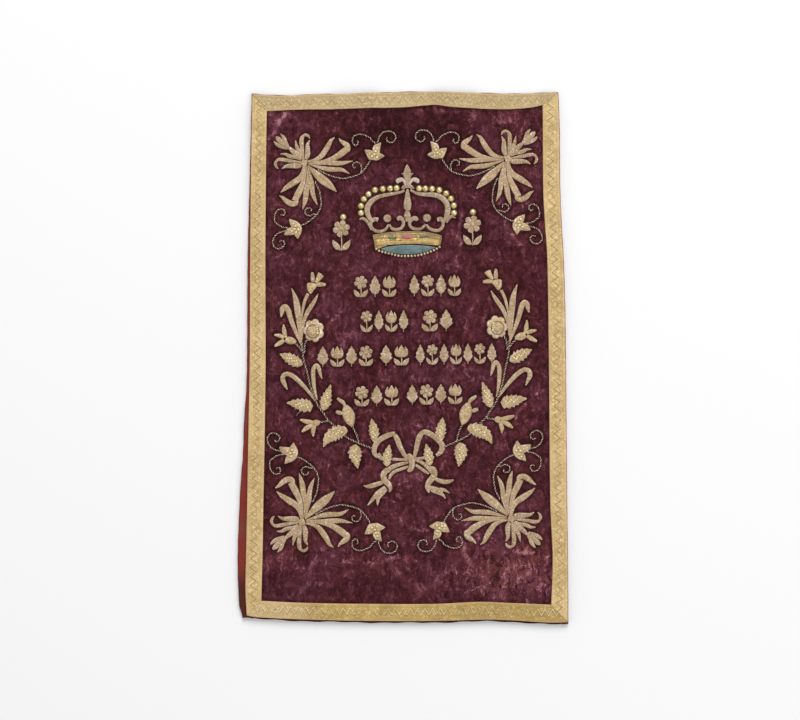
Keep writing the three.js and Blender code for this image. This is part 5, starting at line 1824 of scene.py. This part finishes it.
@dataclass
class Mantle:
    """The whole mantle."""

    boss_size: tuple[float, ...] = (1.09, 1.09, 1.0)
    spangle_size: tuple[float, ...] = (1.2, 1.2, 1.0)
    rim_beads: int = 21

    def build(self) -> None:
        """Builds each sub-assembly, the velvet last, because it is painted with shade round the gold work."""
        gold = ThreadFinish().make()
        yellow = ThreadFinish("yellow_gold_thread", (0.70, 0.50, 0.205), (0.42, 0.265, 0.085), (0.92, 0.76, 0.42),
                              (0.66, 0.45, 0.145)).make()
        dull = ThreadFinish("dull_gold_thread", (0.565, 0.405, 0.290), (0.31, 0.20, 0.105), (0.90, 0.75, 0.60)).make()
        blue = SilkFinish("blue_satin", (0.050, 0.108, 0.110), (0.135, 0.190, 0.188)).make()
        BackCloth().build(BackClothFinish().make())
        sides = BraidFinish().make()
        tops = BraidFinish("pale_braid", (0.555, 0.415, 0.215), (0.45, 0.325, 0.155),
                           dark_line=0.35, light_line=0.3).make()
        hems = BraidFinish("gilt_braid", (0.605, 0.415, 0.125), (0.41, 0.265, 0.072), zigzag=0.0112, dark_line=0.3,
                           light_line=0.85, speckle=0.5, darker_right=0.55, paling=0.8).make()
        for strip in braids():
            strip.build({"braid_hem": hems, "braid_top": tops}.get(strip.node, sides))
        crown = Crown()
        works = [CornerSpray(place).build(gold) for place in SPRAY_PLACES]
        works.append(crown.build(dull, yellow, blue))
        crown.jewels()
        works += [WreathBranch(*side).build(gold) for side in (("wreath_left", as_it_is), ("wreath_right", across))]
        works.append(Bow().build(gold))
        works += [row.build(gold) for row in MOTIF_ROWS]
        self.trim(works)
        # Where the velvet is painted with shade: round the gold work, along the braids' inner edges and round the
        # bosses.
        shade_stations = [p for work in works for p in work.shade_stations]
        for edge, ends in ((FORM.braid_left, (-365, 372)), (FORM.braid_right, (-370, 378))):
            shade_stations += [(float(edge(y)), y, 0.0) for y in range(*ends, 3)]
        shade_stations += [(x, float(edge(x)), 0.0) for edge in (FORM.braid_top, FORM.braid_hem) for x in range(-206, 218, 3)]
        shade_stations += [(x, y, 4.6) for x, y in CROWN_BOSSES]
        VelvetFront().build(VelvetFinish().make(), shade_stations)

    def trim(self, works: Sequence[GoldWork]) -> None:
        """Adds the bosses, spangles and rim beads.

        Args:
            works: the gold work, whose spangles are set here.
        """
        brass = MetalFinish("stamped_gold", (0.86, 0.68, 0.36), (0.42, 0.27, 0.11), 0.8, 0.24).make()
        pearl = MetalFinish("rim_beads", (0.62, 0.47, 0.30), (0.36, 0.25, 0.13), 0.3, 0.38).make()
        bosses = Stamp(boss_master())
        for i, (x, y) in enumerate(CROWN_BOSSES):
            bosses.set(x, y, turn=23.0 * i, size=self.boss_size)
        finished(bosses.shells.piece("crown_bosses", brass, "crown_frame", angle=50), "yellow_gold")
        sparkle = MetalFinish("spangle_gold", (1.0, 0.86, 0.52), (0.62, 0.44, 0.17), 0.4, 0.2).make()
        spangles = Stamp(spangle_master())
        for work in works:
            for i, (x, y, lift) in enumerate(work.spots):
                spangles.set(x, y, lift, 31.0 * i, self.spangle_size)
        finished(spangles.shells.piece("spangles", sparkle, "front_panel", angle=50), "yellow_gold")
        beads = Stamp(bead_master())
        rim = spline(CROWN_RIM)
        length = distances(rim)
        for d in np.linspace(0, length[-1], self.rim_beads):
            beads.set(float(np.interp(d, length, rim[:, 0])), float(np.interp(d, length, rim[:, 1])))
        finished(beads.shells.piece("crown_rim_beads", pearl, "crown_band"), "yellow_gold")


def main() -> None:
    """Builds the scene in order."""
    logging.basicConfig(level=logging.INFO, format="%(name)s: %(message)s")
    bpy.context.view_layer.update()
    Studio().build()
    Mantle().build()
    bpy.context.view_layer.update()


if __name__ == "__main__":
    main()
